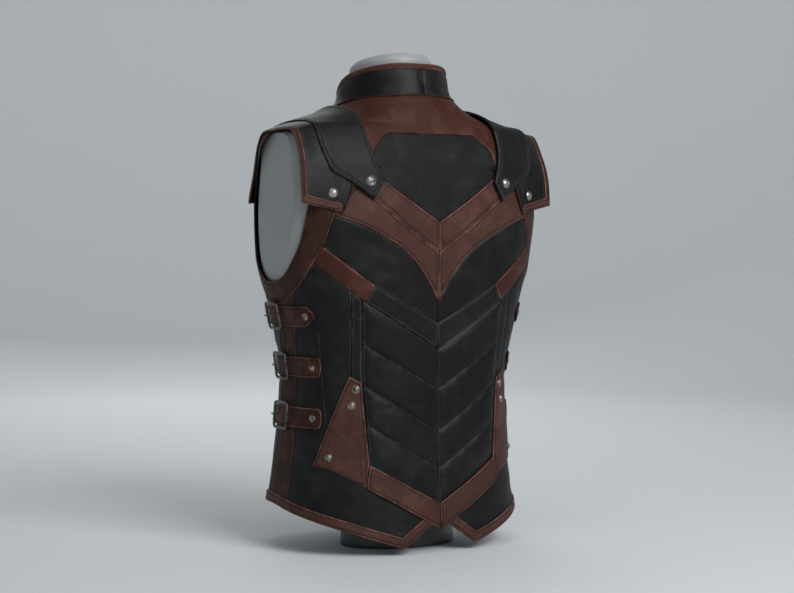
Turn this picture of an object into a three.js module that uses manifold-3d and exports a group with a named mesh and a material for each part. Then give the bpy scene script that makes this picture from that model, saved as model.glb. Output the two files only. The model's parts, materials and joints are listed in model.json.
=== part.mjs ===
// A leather armour vest worn by a limbless dress form that stands on a recessed foot.
// Millimetres, +Z up. The back of the vest faces +Y and the wearer's left is +X.
// The origin lies under the middle of the foot, on the surface that the form stands on.
//
// The vest is one curved skin, worked out from level sections of the torso. Its panels are
// that skin cut along the seams, and what is sewn or riveted on top is cut from further
// skins that lie a leather's thickness and a seam gap further out.

import * as THREE from 'three';
import { mergeVertices } from 'three/addons/utils/BufferGeometryUtils.js';
import ManifoldModule from 'manifold-3d';

const wasm = await ManifoldModule();
wasm.setup();

// ---------------------------------------------------------------- driving sizes

const LEATHER = 2;
const SEAM_GAP = 0.3;
const BUCKLE_METAL = 3;

const BINDING_WIDTH = 13;
const RIM_BINDING = 7;
const COLLAR_END = 0.15;
const COLLAR_FOOT_GAP = 1.4;

const STRAP_WIDTH = 27;
const STRAP_POINT = { upper: 12, lower: 4 };
const STRAP_BEHIND_BUCKLE = 50;
const BUCKLE_LENGTH = 44;
const BUCKLE_HEIGHT = 37;
const BUCKLE_BAR = 4;
const PRONG_HALF = 1.3;
const PRONG_TAIL = 3;

const SNAP_RADIUS = 6;
const SNAP_HEIGHT = 3.2;
const RIVET_RADIUS = 5;
const RIVET_HEIGHT = 2.4;
const HEAD_SIDES = 8;

const FOOT_HALF_WIDTH = 82;
const FOOT_HALF_DEPTH = 60;
const FORM_BOTTOM = 66;

// How far the faces of each skin lie outside the face of the panels.
const PANEL = { inner: -LEATHER, outer: 0 };
const OVERLAY = { inner: SEAM_GAP, outer: SEAM_GAP + LEATHER };
const RIVET = { inner: OVERLAY.inner + LEATHER / 2, outer: OVERLAY.outer + RIVET_HEIGHT };
const BUCKLE = { inner: OVERLAY.outer + SEAM_GAP, outer: OVERLAY.outer + SEAM_GAP + BUCKLE_METAL };
const CAP_OFF = 3;
const CAP = { inner: CAP_OFF, outer: CAP_OFF + LEATHER };
const STRAP_OVER_CAP = 2.2;
const SHOULDER_STRAP = {
  inner: CAP.outer + STRAP_OVER_CAP,
  outer: CAP.outer + STRAP_OVER_CAP + LEATHER,
};
const CUTTER = { inner: -14, outer: 16 };

// Level sections of the torso, on the outside of the panels: half the width, where the back,
// the front and the widest point lie along Y, and how square the back and front halves are
// (2 is an ellipse). The last rows are the neck opening and the standing collar.
const SECTIONS = [
  { z: -20, half: 180, back: 112, front: -150, side: -22, backSquare: 2.6, frontSquare: 2.4 },
  { z: 30, half: 174, back: 108, front: -146, side: -21, backSquare: 2.6, frontSquare: 2.4 },
  { z: 130, half: 161, back: 100, front: -134, side: -19, backSquare: 2.6, frontSquare: 2.4 },
  { z: 220, half: 156, back: 99, front: -126, side: -13, backSquare: 2.6, frontSquare: 2.4 },
  { z: 310, half: 172, back: 103, front: -132, side: -6, backSquare: 2.7, frontSquare: 2.3 },
  { z: 390, half: 193, back: 106, front: -138, side: -8, backSquare: 2.8, frontSquare: 2.3 },
  { z: 450, half: 196, back: 107, front: -134, side: -9, backSquare: 3.2, frontSquare: 2.3 },
  { z: 500, half: 195, back: 102, front: -120, side: -6, backSquare: 3.2, frontSquare: 2.4 },
  { z: 530, half: 194, back: 93, front: -106, side: -4, backSquare: 3, frontSquare: 2.5 },
  { z: 543, half: 191, back: 87, front: -98, side: -3, backSquare: 2.9, frontSquare: 2.5 },
  { z: 551, half: 184, back: 83.5, front: -93, side: -3, backSquare: 2.8, frontSquare: 2.5 },
  { z: 558, half: 155, back: 81.5, front: -89, side: -3, backSquare: 2.6, frontSquare: 2.5 },
  { z: 576, half: 101, back: 77, front: -82, side: -4, backSquare: 2.4, frontSquare: 2.4 },
  { z: 590, half: 82.5, back: 71.5, front: -82, side: -7, backSquare: 2.2, frontSquare: 2.2 },
  { z: 600, half: 76, back: 67.5, front: -83, side: -10, backSquare: 2.1, frontSquare: 2.1 },
  { z: 645, half: 68.5, back: 57, front: -93, side: -15, backSquare: 2.1, frontSquare: 2.1 },
];

// The heights of the skins' rings of points, and the degrees round from the middle of the back
// at which a ring has a point, mirrored for the right half.
const RING_HEIGHTS = [
  0, 86, 148, 210, 277, 345, 398, 452, 505, 532, 550, 562, 576, 588, 604,
];
const RING_DEGREES = [0, 20, 36, 50, 65, 84, 104, 125, 150, 180];

// Seams and edges of the left half as points [girth, height]: the girth is measured round the
// section from the middle of the back. The right half mirrors them.
const SEAMS = {
  centreBack: [[0, -10], [0, 432]],
  centrePanelPoint: [[0, 432], [45, 460], [95, 494]],
  centrePanelTop: [[95, 494], [91, 524.5], [66, 547], [0, 547]],
  yokeEdge: [[95, 494], [150, 526], [190, 532]],
  upperChevron: [[0, 392.5], [47, 424], [96, 462], [140, 492], [200, 520]],
  lowerChevron: [
    [0, 326], [14.5, 352], [34, 377.5], [60, 400], [100, 422], [128, 432.5], [153, 440], [200, 452],
  ],
  bandTop: [[0, 300.5], [45, 323], [93, 350.3], [165, 402], [200, 428]],
  bandBottom: [[0, 265.8], [50, 296], [105, 328.6], [124, 342.3], [175, 379], [206, 402]],
  bandJoin: [[93, 350.3], [105, 328.6]],
  quiltSide: [[110, 332.2], [107, 275], [104.5, 223], [99, 150], [98, 103]],
  princess: [[124, 342.3], [121.6, 285], [119.5, 232], [117, 180], [112, 108]],
  skirt: [[0, 47.5], [50, 74], [98, 103], [112, 108]],
  stripeBack: [[204, 380], [205.6, 278], [208, 205], [210, 147], [215, 106], [221, 75], [230, 20]],
  side: [[228, 375], [230, 277], [230, 204], [237, 144], [244, 103], [251, 71], [262, 20]],
  stripeFront: [[246, 370], [245, 277], [247, 204], [256, 144], [268, 103], [277, 70], [290, 20]],
};

// Edges that go round the neck, as points [degrees round from the middle of the back, height].
const NECK_SEAM = [
  [0, 599], [36, 597], [65, 594], [104, 584], [125, 578], [150, 572], [180, 569],
];
const COLLAR_RIM = [
  [0, 640.5], [25, 640.5], [50, 637.5], [84, 629], [104, 620], [125, 605], [150, 596], [180, 592],
];
const SHOULDER_SEAM = [[104, 584], [104, 560], [104, 545], [104, 500]];

// The hem from the middle of the back: the point of the chevron, the notch, the tail and the side.
const HEM = [
  [0, 31], [14, 37.5], [55, 9.5], [94, 22], [140, 36.5], [186, 48.5], [226, 56], [265, 61.5],
  [330, 58], [400, 50], [485, 44],
];

// Pieces that lie on the panels of the left half, as matching points of two opposite edges.
const GUSSET = {
  inner: [[102.5, 88], [96.5, 119], [106, 224.5]],
  outer: [[173.5, 115], [166, 130], [122, 233.5]],
};
const HEM_CHEVRON = {
  upper: [[0, 64.6], [48, 91], [96.5, 119]],
  lower: [[0, 30.4], [50, 58.5], [102.5, 88]],
};
const GUSSET_RIVETS = [[113.5, 216], [119, 195], [149.5, 127.5]];

// The straps that close each side: their height, the girth at their tip, which reaches a little
// farther back on the right, and the girth under their buckle.
const SIDE_STRAPS = [
  { name: 'upper', z: 310, tips: { L: 170, R: 157 }, buckle: 253 },
  { name: 'middle', z: 243.5, tips: { L: 159, R: 147 }, buckle: 241 },
  { name: 'lower', z: 177, tips: { L: 158, R: 154 }, buckle: 240 },
];
const STRAP_RIVET_FROM_TIP = 14;

// The armhole seen from the side, an upright egg whose lower end leans to the front.
const ARMHOLE = {
  y: 5, z: 456, halfWidth: 66, above: 100, below: 102, lean: 0.2, backSquare: 2.6, frontSquare: 2,
};
const FACING = { side: 22, below: 27, top: 500 };

// Shoulder pieces run over the shoulder from the back to the front. Each row gives the inner
// and the outer edge: how far out it lies, and its turn in degrees about the shoulder axis,
// up from the back.
const SHOULDER_AXIS = { y: -5, z: 440 };
const CAP_ROWS = [
  { inner: 139, innerTurn: 2.5, outer: 190, outerTurn: 10 },
  { inner: 126, innerTurn: 21, outer: 190, outerTurn: 27 },
  { inner: 118, innerTurn: 45, outer: 190, outerTurn: 50 },
  { inner: 110, innerTurn: 70, outer: 190, outerTurn: 72 },
  { inner: 108, innerTurn: 90, outer: 190, outerTurn: 92 },
  { inner: 110, innerTurn: 112, outer: 190, outerTurn: 114 },
  { inner: 114, innerTurn: 125, outer: 190, outerTurn: 125 },
  { inner: 118, innerTurn: 138, outer: 190, outerTurn: 136 },
  { inner: 126, innerTurn: 160, outer: 190, outerTurn: 152 },
  { inner: 139, innerTurn: 175, outer: 190, outerTurn: 163 },
];
const SHOULDER_STRAP_ROWS = [
  { inner: 98, innerTurn: 10.5, outer: 100, outerTurn: 11.2 },
  { inner: 85, innerTurn: 22, outer: 151, outerTurn: 32 },
  { inner: 97, innerTurn: 40, outer: 160, outerTurn: 46 },
  { inner: 100, innerTurn: 56, outer: 161, outerTurn: 60 },
  { inner: 96, innerTurn: 73, outer: 155, outerTurn: 75 },
  { inner: 93, innerTurn: 90, outer: 151, outerTurn: 90 },
  { inner: 94, innerTurn: 107, outer: 153, outerTurn: 106 },
  { inner: 97, innerTurn: 124, outer: 157, outerTurn: 121 },
  { inner: 96, innerTurn: 142, outer: 158, outerTurn: 136 },
  { inner: 88, innerTurn: 160, outer: 150, outerTurn: 150 },
  { inner: 98, innerTurn: 170, outer: 100, outerTurn: 169 },
];
const CAP_BINDING = 8;
const CAP_BINDING_TURN = 6;
const CAP_BINDING_GAP_TURN = 0.2;

const SHOULDER_SNAPS = {
  strap: { out: 103, turn: 22, off: 0.1 },
  cap: { out: 150, turn: 16.5, off: 1.9 },
};

// The dress form's neck: half its width and depth, its centre, and the slope of its cut top.
const NECK = { halfWidth: 54.5, halfDepth: 60, y: -18, top: 650.5, slope: 0.11 };
const ARM_PLATE_X = 184.5;
const FORM_CLEAR = 3;
const FORM_SEAT = 0.8;

// How far round the skin the left front laps past the middle, in degrees.
const FRONT_LAP = 7;

// ---------------------------------------------------------------- the torso's skin

const radians = THREE.MathUtils.degToRad;
const COLUMNS = ['half', 'back', 'front', 'side', 'backSquare', 'frontSquare'];

// The slope of one column at each row, chosen so that the curve never overshoots the table.
function columnSlopes(name) {
  const steps = [];
  for (let row = 1; row < SECTIONS.length; row += 1) {
    const run = SECTIONS[row].z - SECTIONS[row - 1].z;
    const rate = (SECTIONS[row][name] - SECTIONS[row - 1][name]) / run;
    steps.push({ run, rate });
  }
  const slopes = [steps[0].rate];
  for (let row = 1; row < steps.length; row += 1) {
    const before = steps[row - 1];
    const after = steps[row];
    const weightBefore = 2 * after.run + before.run;
    const weightAfter = after.run + 2 * before.run;
    const turns = before.rate * after.rate <= 0;
    const mean = (weightBefore + weightAfter) / (weightBefore / before.rate + weightAfter / after.rate);
    slopes.push(turns ? 0 : mean);
  }
  slopes.push(steps[steps.length - 1].rate);
  return slopes;
}

const SLOPES = Object.fromEntries(COLUMNS.map((name) => [name, columnSlopes(name)]));

// The section of the torso at any height.
function section(z) {
  let row = 1;
  while (row < SECTIONS.length - 1 && z > SECTIONS[row].z) {
    row += 1;
  }
  const low = SECTIONS[row - 1];
  const high = SECTIONS[row];
  const run = high.z - low.z;
  const t = (z - low.z) / run;
  const result = {};
  for (const name of COLUMNS) {
    const slopeLow = SLOPES[name][row - 1] * run;
    const slopeHigh = SLOPES[name][row] * run;
    result[name] =
      (1 + 2 * t) * (1 - t) ** 2 * low[name] +
      t * (1 - t) ** 2 * slopeLow +
      t * t * (3 - 2 * t) * high[name] +
      t * t * (t - 1) * slopeHigh;
  }
  return result;
}

// The point of a section at a turn from the middle of the back towards the wearer's left.
function sectionPoint(shape, z, turn) {
  const sideways = Math.sin(turn);
  const backwards = Math.cos(turn);
  const square = backwards >= 0 ? shape.backSquare : shape.frontSquare;
  const depth = backwards >= 0 ? shape.back - shape.side : shape.side - shape.front;
  const reach = (Math.abs(sideways) ** square + Math.abs(backwards) ** square) ** (-1 / square);
  const x = shape.half * sideways * reach;
  const y = shape.side + depth * backwards * reach;
  return new THREE.Vector3(x, y, z);
}

// A point that lies `lift` outside the panels' outer face.
function skinPoint(turn, z, lift) {
  const small = { turn: 0.01, z: 0.5 };
  const shape = section(z);
  const around = sectionPoint(shape, z, turn + small.turn);
  around.sub(sectionPoint(shape, z, turn - small.turn));
  const upward = sectionPoint(section(z + small.z), z + small.z, turn);
  upward.sub(sectionPoint(section(z - small.z), z - small.z, turn));
  const normal = upward.cross(around).normalize();
  return sectionPoint(shape, z, turn).addScaledVector(normal, lift);
}

// Lengths round the left half of a section, at equal turns from the middle of the back.
const GIRTH_STEPS = 120;
const girthsByHeight = new Map();

function girthsAt(z) {
  const key = z.toFixed(2);
  if (!girthsByHeight.has(key)) {
    const shape = section(z);
    const lengths = [0];
    let last = sectionPoint(shape, z, 0);
    for (let step = 1; step <= GIRTH_STEPS; step += 1) {
      const next = sectionPoint(shape, z, (Math.PI * step) / GIRTH_STEPS);
      lengths.push(lengths[step - 1] + next.distanceTo(last));
      last = next;
    }
    girthsByHeight.set(key, lengths);
  }
  return girthsByHeight.get(key);
}

function halfGirth(z) {
  return girthsAt(z)[GIRTH_STEPS];
}

// The turn at a girth; girths beyond the middle of the front go on round the other half.
function turnAtGirth(girth, z) {
  const lengths = girthsAt(z);
  const half = lengths[GIRTH_STEPS];
  const distance = Math.abs(girth);
  if (distance > half) {
    return Math.sign(girth) * (2 * Math.PI - turnAtGirth(2 * half - distance, z));
  }
  let step = 1;
  while (step < GIRTH_STEPS && lengths[step] < distance) {
    step += 1;
  }
  const part = (distance - lengths[step - 1]) / (lengths[step] - lengths[step - 1]);
  return (Math.sign(girth) * Math.PI * (step - 1 + part)) / GIRTH_STEPS;
}

// Two ways to name a place on the skin: by girth and height, or by degrees and height.
function byGirth([girth, z], lift) {
  return skinPoint(turnAtGirth(girth, z), z, lift);
}

function byDegrees([degrees, z], lift) {
  return skinPoint(radians(degrees), z, lift);
}

// ---------------------------------------------------------------- the shoulder's arch

// Beyond its point the shoulder's pieces stand out straighter than the body falls away: they
// follow only this part of the way out, at each turn about the shoulder axis.
const SHOULDER_POINT = 150;
const FOLLOW = [
  { turn: 0, part: 0.3 },
  { turn: 60, part: 0.3 },
  { turn: 90, part: 0.72 },
  { turn: 115, part: 0.88 },
  { turn: 180, part: 0.88 },
];

function followPart(turn) {
  let row = 1;
  while (row < FOLLOW.length - 1 && turn > FOLLOW[row].turn) {
    row += 1;
  }
  const low = FOLLOW[row - 1];
  const high = FOLLOW[row];
  const t = THREE.MathUtils.smoothstep(turn, low.turn, high.turn);
  return low.part + (high.part - low.part) * t;
}

// Below 0 inside the skin and above 0 outside it.
function outsideBy(x, y, z) {
  const shape = section(z);
  const behind = y >= shape.side;
  const square = behind ? shape.backSquare : shape.frontSquare;
  const depth = behind ? shape.back - shape.side : shape.side - shape.front;
  return (Math.abs(x) / shape.half) ** square + (Math.abs(y - shape.side) / depth) ** square - 1;
}

// The point where a ray from the shoulder axis leaves the skin, lifted off it.
function shoulderPoint([out, turn], lift) {
  const beyond = Math.max(0, out - SHOULDER_POINT);
  const carried = out - beyond * (1 - followPart(turn));
  const alongY = Math.cos(radians(turn));
  const alongZ = Math.sin(radians(turn));
  let near = 0;
  let far = 260;
  for (let pass = 0; pass < 40; pass += 1) {
    const middle = (near + far) / 2;
    const z = SHOULDER_AXIS.z + middle * alongZ;
    const outside = outsideBy(carried, SHOULDER_AXIS.y + middle * alongY, z) > 0;
    near = outside ? near : middle;
    far = outside ? middle : far;
  }
  const y = SHOULDER_AXIS.y + far * alongY;
  const z = SHOULDER_AXIS.z + far * alongZ;
  const small = 0.05;
  const normal = new THREE.Vector3(
    outsideBy(carried + small, y, z) - outsideBy(carried - small, y, z),
    outsideBy(carried, y + small, z) - outsideBy(carried, y - small, z),
    outsideBy(carried, y, z + small) - outsideBy(carried, y, z - small),
  ).normalize();
  return new THREE.Vector3(out, y, z).addScaledVector(normal, lift);
}

// ---------------------------------------------------------------- solids

// A closed solid from points and triangles, turned so that its faces point out.
function solidFrom(points, triangles) {
  const vertProperties = new Float32Array(points.flatMap((point) => point.toArray()));
  const triVerts = new Uint32Array(triangles.flat());
  const solid = new wasm.Manifold(new wasm.Mesh({ numProp: 3, vertProperties, triVerts }));
  if (solid.volume() > 0) {
    return solid;
  }
  const flipped = new Uint32Array(triangles.flatMap(([a, b, c]) => [a, c, b]));
  return new wasm.Manifold(new wasm.Mesh({ numProp: 3, vertProperties, triVerts: flipped }));
}

// A closed solid from one of three's own geometries.
function solidFromGeometry(geometry) {
  geometry.deleteAttribute('normal');
  geometry.deleteAttribute('uv');
  const merged = mergeVertices(geometry, 1e-4);
  const position = merged.getAttribute('position');
  const index = merged.getIndex();
  const points = [];
  for (let i = 0; i < position.count; i += 1) {
    points.push(new THREE.Vector3().fromBufferAttribute(position, i));
  }
  const triangles = [];
  for (let i = 0; i < index.count; i += 3) {
    const corners = [index.getX(i), index.getX(i + 1), index.getX(i + 2)];
    if (new Set(corners).size === 3) {
      triangles.push(corners);
    }
  }
  return solidFrom(points, triangles);
}

// A slab between two grids of points, which are the rows of its outer and its inner face.
function slab(outer, inner) {
  const rows = outer.length;
  const columns = outer[0].length;
  const points = [...outer.flat(), ...inner.flat()];
  const below = rows * columns;
  const triangles = [];
  for (let row = 1; row < rows; row += 1) {
    for (let column = 1; column < columns; column += 1) {
      const d = row * columns + column;
      const c = d - 1;
      const b = d - columns;
      const a = b - 1;
      triangles.push([a, b, d], [a, d, c]);
      triangles.push([below + a, below + d, below + b], [below + a, below + c, below + d]);
    }
  }
  const rim = [];
  for (let column = 0; column < columns; column += 1) {
    rim.push(column);
  }
  for (let row = 1; row < rows; row += 1) {
    rim.push(row * columns + columns - 1);
  }
  for (let column = columns - 2; column >= 0; column -= 1) {
    rim.push((rows - 1) * columns + column);
  }
  for (let row = rows - 2; row > 0; row -= 1) {
    rim.push(row * columns);
  }
  rim.forEach((start, i) => {
    const end = rim[(i + 1) % rim.length];
    triangles.push([start, below + end, end], [start, below + start, below + end]);
  });
  return solidFrom(points, triangles);
}

// A solid through closed rings of equal length, with a flat cover on both ends.
function loft(rings) {
  const count = rings[0].length;
  const points = rings.flat();
  const triangles = [];
  for (let ring = 1; ring < rings.length; ring += 1) {
    for (let i = 0; i < count; i += 1) {
      const next = (i + 1) % count;
      const low = (ring - 1) * count;
      const high = ring * count;
      triangles.push([low + i, high + next, low + next], [low + i, high + i, high + next]);
    }
  }
  const last = (rings.length - 1) * count;
  for (let i = 1; i < count - 1; i += 1) {
    triangles.push([0, i, i + 1], [last, last + i + 1, last + i]);
  }
  return solidFrom(points, triangles);
}

const rightDegrees = RING_DEGREES.slice(1, -1).map((degrees) => 360 - degrees).reverse();
const RING_TURNS = [...RING_DEGREES, ...rightDegrees].map(radians);

function ring(pointAt) {
  return RING_TURNS.map(pointAt);
}

// The whole skin between two lifts, as a tube that is open at the hem and at the neck.
function skin({ inner, outer }) {
  const outerRings = RING_HEIGHTS.map((z) => ring((turn) => skinPoint(turn, z, outer)));
  const innerRings = RING_HEIGHTS.map((z) => ring((turn) => skinPoint(turn, z, inner)));
  const loop = [...outerRings, ...innerRings.reverse()];
  const count = RING_TURNS.length;
  const points = loop.flat();
  const triangles = [];
  for (let row = 0; row < loop.length; row += 1) {
    for (let i = 0; i < count; i += 1) {
      const next = (i + 1) % count;
      const low = row * count;
      const high = ((row + 1) % loop.length) * count;
      const rising = row < outerRings.length;
      const diagonal = rising
        ? [[low + i, high + next, low + next], [low + i, high + i, high + next]]
        : [[low + i, high + i, low + next], [low + next, high + i, high + next]];
      triangles.push(...diagonal);
    }
  }
  return solidFrom(points, triangles);
}

// ---------------------------------------------------------------- cutters

const STEP_ALONG = 60;
const STEP_ACROSS = 60;
const BLADE_OVERRUN = 0.6;

function between(a, b, t) {
  return a.map((value, i) => value + (b[i] - value) * t);
}

function span(a, b) {
  return Math.hypot(...a.map((value, i) => b[i] - value));
}

function mirrored(points) {
  return points.map(([across, z]) => [-across, z]);
}

function shifted(points, dz) {
  return points.map(([across, z]) => [across, z + dz]);
}

// Rows of matching points on two edges, close enough together to follow the skin.
function matchedRows(edgeA, edgeB, step) {
  const rows = [];
  for (let i = 1; i < edgeA.length; i += 1) {
    const longest = Math.max(span(edgeA[i - 1], edgeA[i]), span(edgeB[i - 1], edgeB[i]));
    const parts = Math.ceil(longest / step);
    for (let part = 0; part < parts; part += 1) {
      const t = part / parts;
      rows.push([between(edgeA[i - 1], edgeA[i], t), between(edgeB[i - 1], edgeB[i], t)]);
    }
  }
  rows.push([edgeA[edgeA.length - 1], edgeB[edgeB.length - 1]]);
  return rows;
}

// The slab of skin between two edges.
function patch(edgeA, edgeB, lifts, place = byGirth) {
  const rows = matchedRows(edgeA, edgeB, STEP_ALONG);
  const widest = Math.max(...rows.map(([a, b]) => span(a, b)));
  const columns = Math.ceil(widest / STEP_ACROSS);
  const grid = (lift) => rows.map(([a, b]) => {
    const points = [];
    for (let column = 0; column <= columns; column += 1) {
      points.push(place(between(a, b, column / columns), lift));
    }
    return points;
  });
  return slab(grid(lifts.outer), grid(lifts.inner));
}

// A thin wall that stands on a seam and cuts the skin along it.
function blade(seam, place = byGirth) {
  const rows = matchedRows(seam, seam, STEP_ALONG);
  const line = rows.map(([point]) => place(point, 0));
  const low = rows.map(([point]) => place(point, CUTTER.inner));
  const high = rows.map(([point]) => place(point, CUTTER.outer));
  const along = [];
  for (let i = 1; i < line.length; i += 1) {
    along.push(line[i].clone().sub(line[i - 1]).normalize());
  }
  const halfGap = SEAM_GAP / 2;
  const offsets = line.map((point, i) => {
    const up = high[i].clone().sub(low[i]).normalize();
    const before = up.clone().cross(along[Math.max(i - 1, 0)]).normalize();
    const after = up.clone().cross(along[Math.min(i, along.length - 1)]).normalize();
    const middle = before.clone().add(after).normalize();
    return middle.multiplyScalar(halfGap / Math.max(middle.dot(after), 0.3));
  });
  const reach = (points, i) => {
    const point = points[i].clone();
    if (i === 0) {
      point.addScaledVector(along[0], -BLADE_OVERRUN);
    }
    if (i === points.length - 1) {
      point.addScaledVector(along[along.length - 1], BLADE_OVERRUN);
    }
    return point;
  };
  const wall = (sign) => line.map((point, i) => [low, high].map((points) => (
    reach(points, i).addScaledVector(offsets[i], sign)
  )));
  return slab(wall(1), wall(-1));
}

// An edge whose first and last points are drawn in across the skin.
function trimmed(edge, start, end) {
  const [first, last] = [edge[0], edge[edge.length - 1]];
  return [[first[0] + start, first[1]], ...edge.slice(1, -1), [last[0] - end, last[1]]];
}

// An edge moved up on the skin by a distance, with mitred corners.
function offsetEdge(edge, distance) {
  const sides = [];
  for (let i = 1; i < edge.length; i += 1) {
    const length = span(edge[i - 1], edge[i]);
    const run = edge[i][0] - edge[i - 1][0];
    const rise = edge[i][1] - edge[i - 1][1];
    sides.push([-rise / length, run / length]);
  }
  return edge.map(([across, z], i) => {
    const before = sides[Math.max(i - 1, 0)];
    const after = sides[Math.min(i, sides.length - 1)];
    const mitre = distance / (1 + before[0] * after[0] + before[1] * after[1]);
    return [across + (before[0] + after[0]) * mitre, z + (before[1] + after[1]) * mitre];
  });
}

// The armhole's outline, let out at its sides and below; above `top` it is cut level.
function armholePrism(side, letOut, letDown, top) {
  const outline = new THREE.Shape();
  const corners = 22;
  for (let i = 0; i < corners; i += 1) {
    const turn = (2 * Math.PI * i) / corners;
    const back = Math.cos(turn);
    const up = Math.sin(turn);
    const square = back >= 0 ? ARMHOLE.backSquare : ARMHOLE.frontSquare;
    const reach = (Math.abs(back) ** square + Math.abs(up) ** square) ** (-1 / square);
    const height = up >= 0 ? ARMHOLE.above + letOut : ARMHOLE.below + letDown;
    const rise = height * up * reach;
    const z = Math.min(ARMHOLE.z + rise, top);
    const y = ARMHOLE.y + ARMHOLE.lean * rise + (ARMHOLE.halfWidth + letOut) * back * reach;
    outline[i === 0 ? 'moveTo' : 'lineTo'](y, z);
  }
  const reachOut = { from: 100, depth: 130 };
  const geometry = new THREE.ExtrudeGeometry(outline, { depth: reachOut.depth, bevelEnabled: false });
  const yAxis = new THREE.Vector3(0, 1, 0);
  const zAxis = new THREE.Vector3(0, 0, 1);
  const xAxis = new THREE.Vector3(1, 0, 0);
  geometry.applyMatrix4(new THREE.Matrix4().makeBasis(yAxis, zAxis, xAxis));
  geometry.translate(side > 0 ? reachOut.from : -reachOut.from - reachOut.depth, 0, 0);
  return solidFromGeometry(geometry);
}

// ---------------------------------------------------------------- leathers and metals

const BLACK_LEATHER = { color: 0x232426, roughness: 0.5, metalness: 0 };
const BROWN_LEATHER = { color: 0x54302a, roughness: 0.5, metalness: 0 };
const FORM_GREY = { color: 0x7b8385, roughness: 0.35, metalness: 0 };
const FOOT_GREY = { color: 0x35383a, roughness: 0.6, metalness: 0 };
const SILVER = { color: 0xb9b6ac, roughness: 0.3, metalness: 1 };
const PEWTER = { color: 0x8d8478, roughness: 0.4, metalness: 1 };

const vest = new THREE.Group();

// Adds a solid to the model as a named mesh with its own material.
function addPiece(name, solid, finish) {
  const { vertProperties, triVerts } = solid.getMesh();
  const geometry = new THREE.BufferGeometry();
  geometry.setAttribute('position', new THREE.BufferAttribute(new Float32Array(vertProperties), 3));
  geometry.setIndex(new THREE.BufferAttribute(new Uint32Array(triVerts), 1));
  const mesh = new THREE.Mesh(geometry, new THREE.MeshStandardMaterial({ ...finish, flatShading: true }));
  mesh.name = name;
  vest.add(mesh);
}

const SIDES = [
  { letter: 'L', sign: 1, seam: (points) => points },
  { letter: 'R', sign: -1, seam: mirrored },
];

// ---------------------------------------------------------------- the dress form

function formClearance(z) {
  return THREE.MathUtils.mapLinear(THREE.MathUtils.clamp(z, 505, 543), 505, 543, FORM_CLEAR, FORM_SEAT);
}

// Above the shoulders the form narrows from the torso's section to its neck's ellipse.
function formPoint(turn, z, neckShare) {
  const torso = skinPoint(turn, z, PANEL.inner - formClearance(z));
  const x = NECK.halfWidth * Math.sin(turn);
  const y = NECK.y + NECK.halfDepth * Math.cos(turn);
  return torso.lerp(new THREE.Vector3(x, y, z), neckShare);
}

function makeForm() {
  const shoulderTop = 565;
  const torsoHeights = RING_HEIGHTS.filter((z) => z > FORM_BOTTOM && z <= shoulderTop);
  const neckRings = [
    { z: 570, share: 0.1 },
    { z: 577, share: 0.3 },
    { z: 585, share: 0.6 },
    { z: 594, share: 0.88 },
    { z: 604, share: 1 },
  ];
  const rings = [ring((turn) => formPoint(turn, FORM_BOTTOM, 0).setZ(FORM_BOTTOM))];
  rings.push(...torsoHeights.map((z) => ring((turn) => formPoint(turn, z, 0))));
  rings.push(...neckRings.map(({ z, share }) => ring((turn) => formPoint(turn, z, share))));
  rings.push(ring((turn) => {
    const point = formPoint(turn, NECK.top, 1);
    point.z += NECK.slope * (point.y - NECK.y);
    return point;
  }));
  const flanks = new THREE.BoxGeometry(2 * ARM_PLATE_X, 600, 1600);
  addPiece('form_torso', loft(rings).intersect(solidFromGeometry(flanks)), FORM_GREY);
}

function makeFoot() {
  const flare = 1.06;
  const outline = (z, scale) => ring((turn) => new THREE.Vector3(
    FOOT_HALF_WIDTH * scale * Math.sin(turn),
    FOOT_HALF_DEPTH * scale * Math.cos(turn),
    z,
  ));
  const rings = [outline(0, 1), outline(6, 1), outline(FORM_BOTTOM - SEAM_GAP, 1 / flare)];
  addPiece('form_foot', loft(rings), FOOT_GREY);
}

// ---------------------------------------------------------------- the panels

const HEM_FRONT = 44;
const BELOW_HEM = -40;

// The hem's edge on to the middle of the front, or a little past it.
function hemEdge(past) {
  return [...HEM, [halfGirth(HEM_FRONT) + past, HEM_FRONT]];
}

function hemCutter(side) {
  const edge = side.seam(hemEdge(2));
  const floor = edge.map(([girth]) => [girth, BELOW_HEM]);
  return patch(edge, floor, CUTTER);
}

// An edge that goes round the neck, with a point at each station of the rings.
function roundNeck(edge) {
  return RING_DEGREES.map((degrees) => {
    const next = Math.max(1, edge.findIndex((point) => point[0] >= degrees));
    const [low, high] = [edge[next - 1], edge[next]];
    return between(low, high, (degrees - low[0]) / (high[0] - low[0]));
  });
}

// The left front laps over the right one, so the opening lies beside the middle.
const FRONT_OPENING = [[FRONT_LAP - 180, -10], [FRONT_LAP - 180, 590]];

// Where each panel lies on the left half, as a point inside it.
const CENTRE_PANELS = [
  { name: 'back_yoke', at: [0, 575], finish: BROWN_LEATHER },
  { name: 'back_centre_panel', at: [0, 500], finish: BLACK_LEATHER },
];
const SIDE_PANELS = [
  { name: 'upper_chevron', at: [50, 445], finish: BROWN_LEATHER },
  { name: 'lower_chevron', at: [60, 418], finish: BROWN_LEATHER },
  { name: 'wing', at: [80, 375], finish: BLACK_LEATHER },
  { name: 'band', at: [140, 369], finish: BROWN_LEATHER },
  { name: 'band_inner', at: [50, 310], finish: BLACK_LEATHER },
  { name: 'quilted_back', at: [60, 200], finish: BLACK_LEATHER },
  { name: 'princess_strip', at: [113, 250], finish: BLACK_LEATHER },
  { name: 'side_back', at: [150, 250], finish: BLACK_LEATHER },
  { name: 'side_stripe_back', at: [218, 250], finish: BROWN_LEATHER },
  { name: 'side_stripe_front', at: [238, 250], finish: BROWN_LEATHER },
  { name: 'front', at: [360, 300], finish: BLACK_LEATHER },
];

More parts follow.
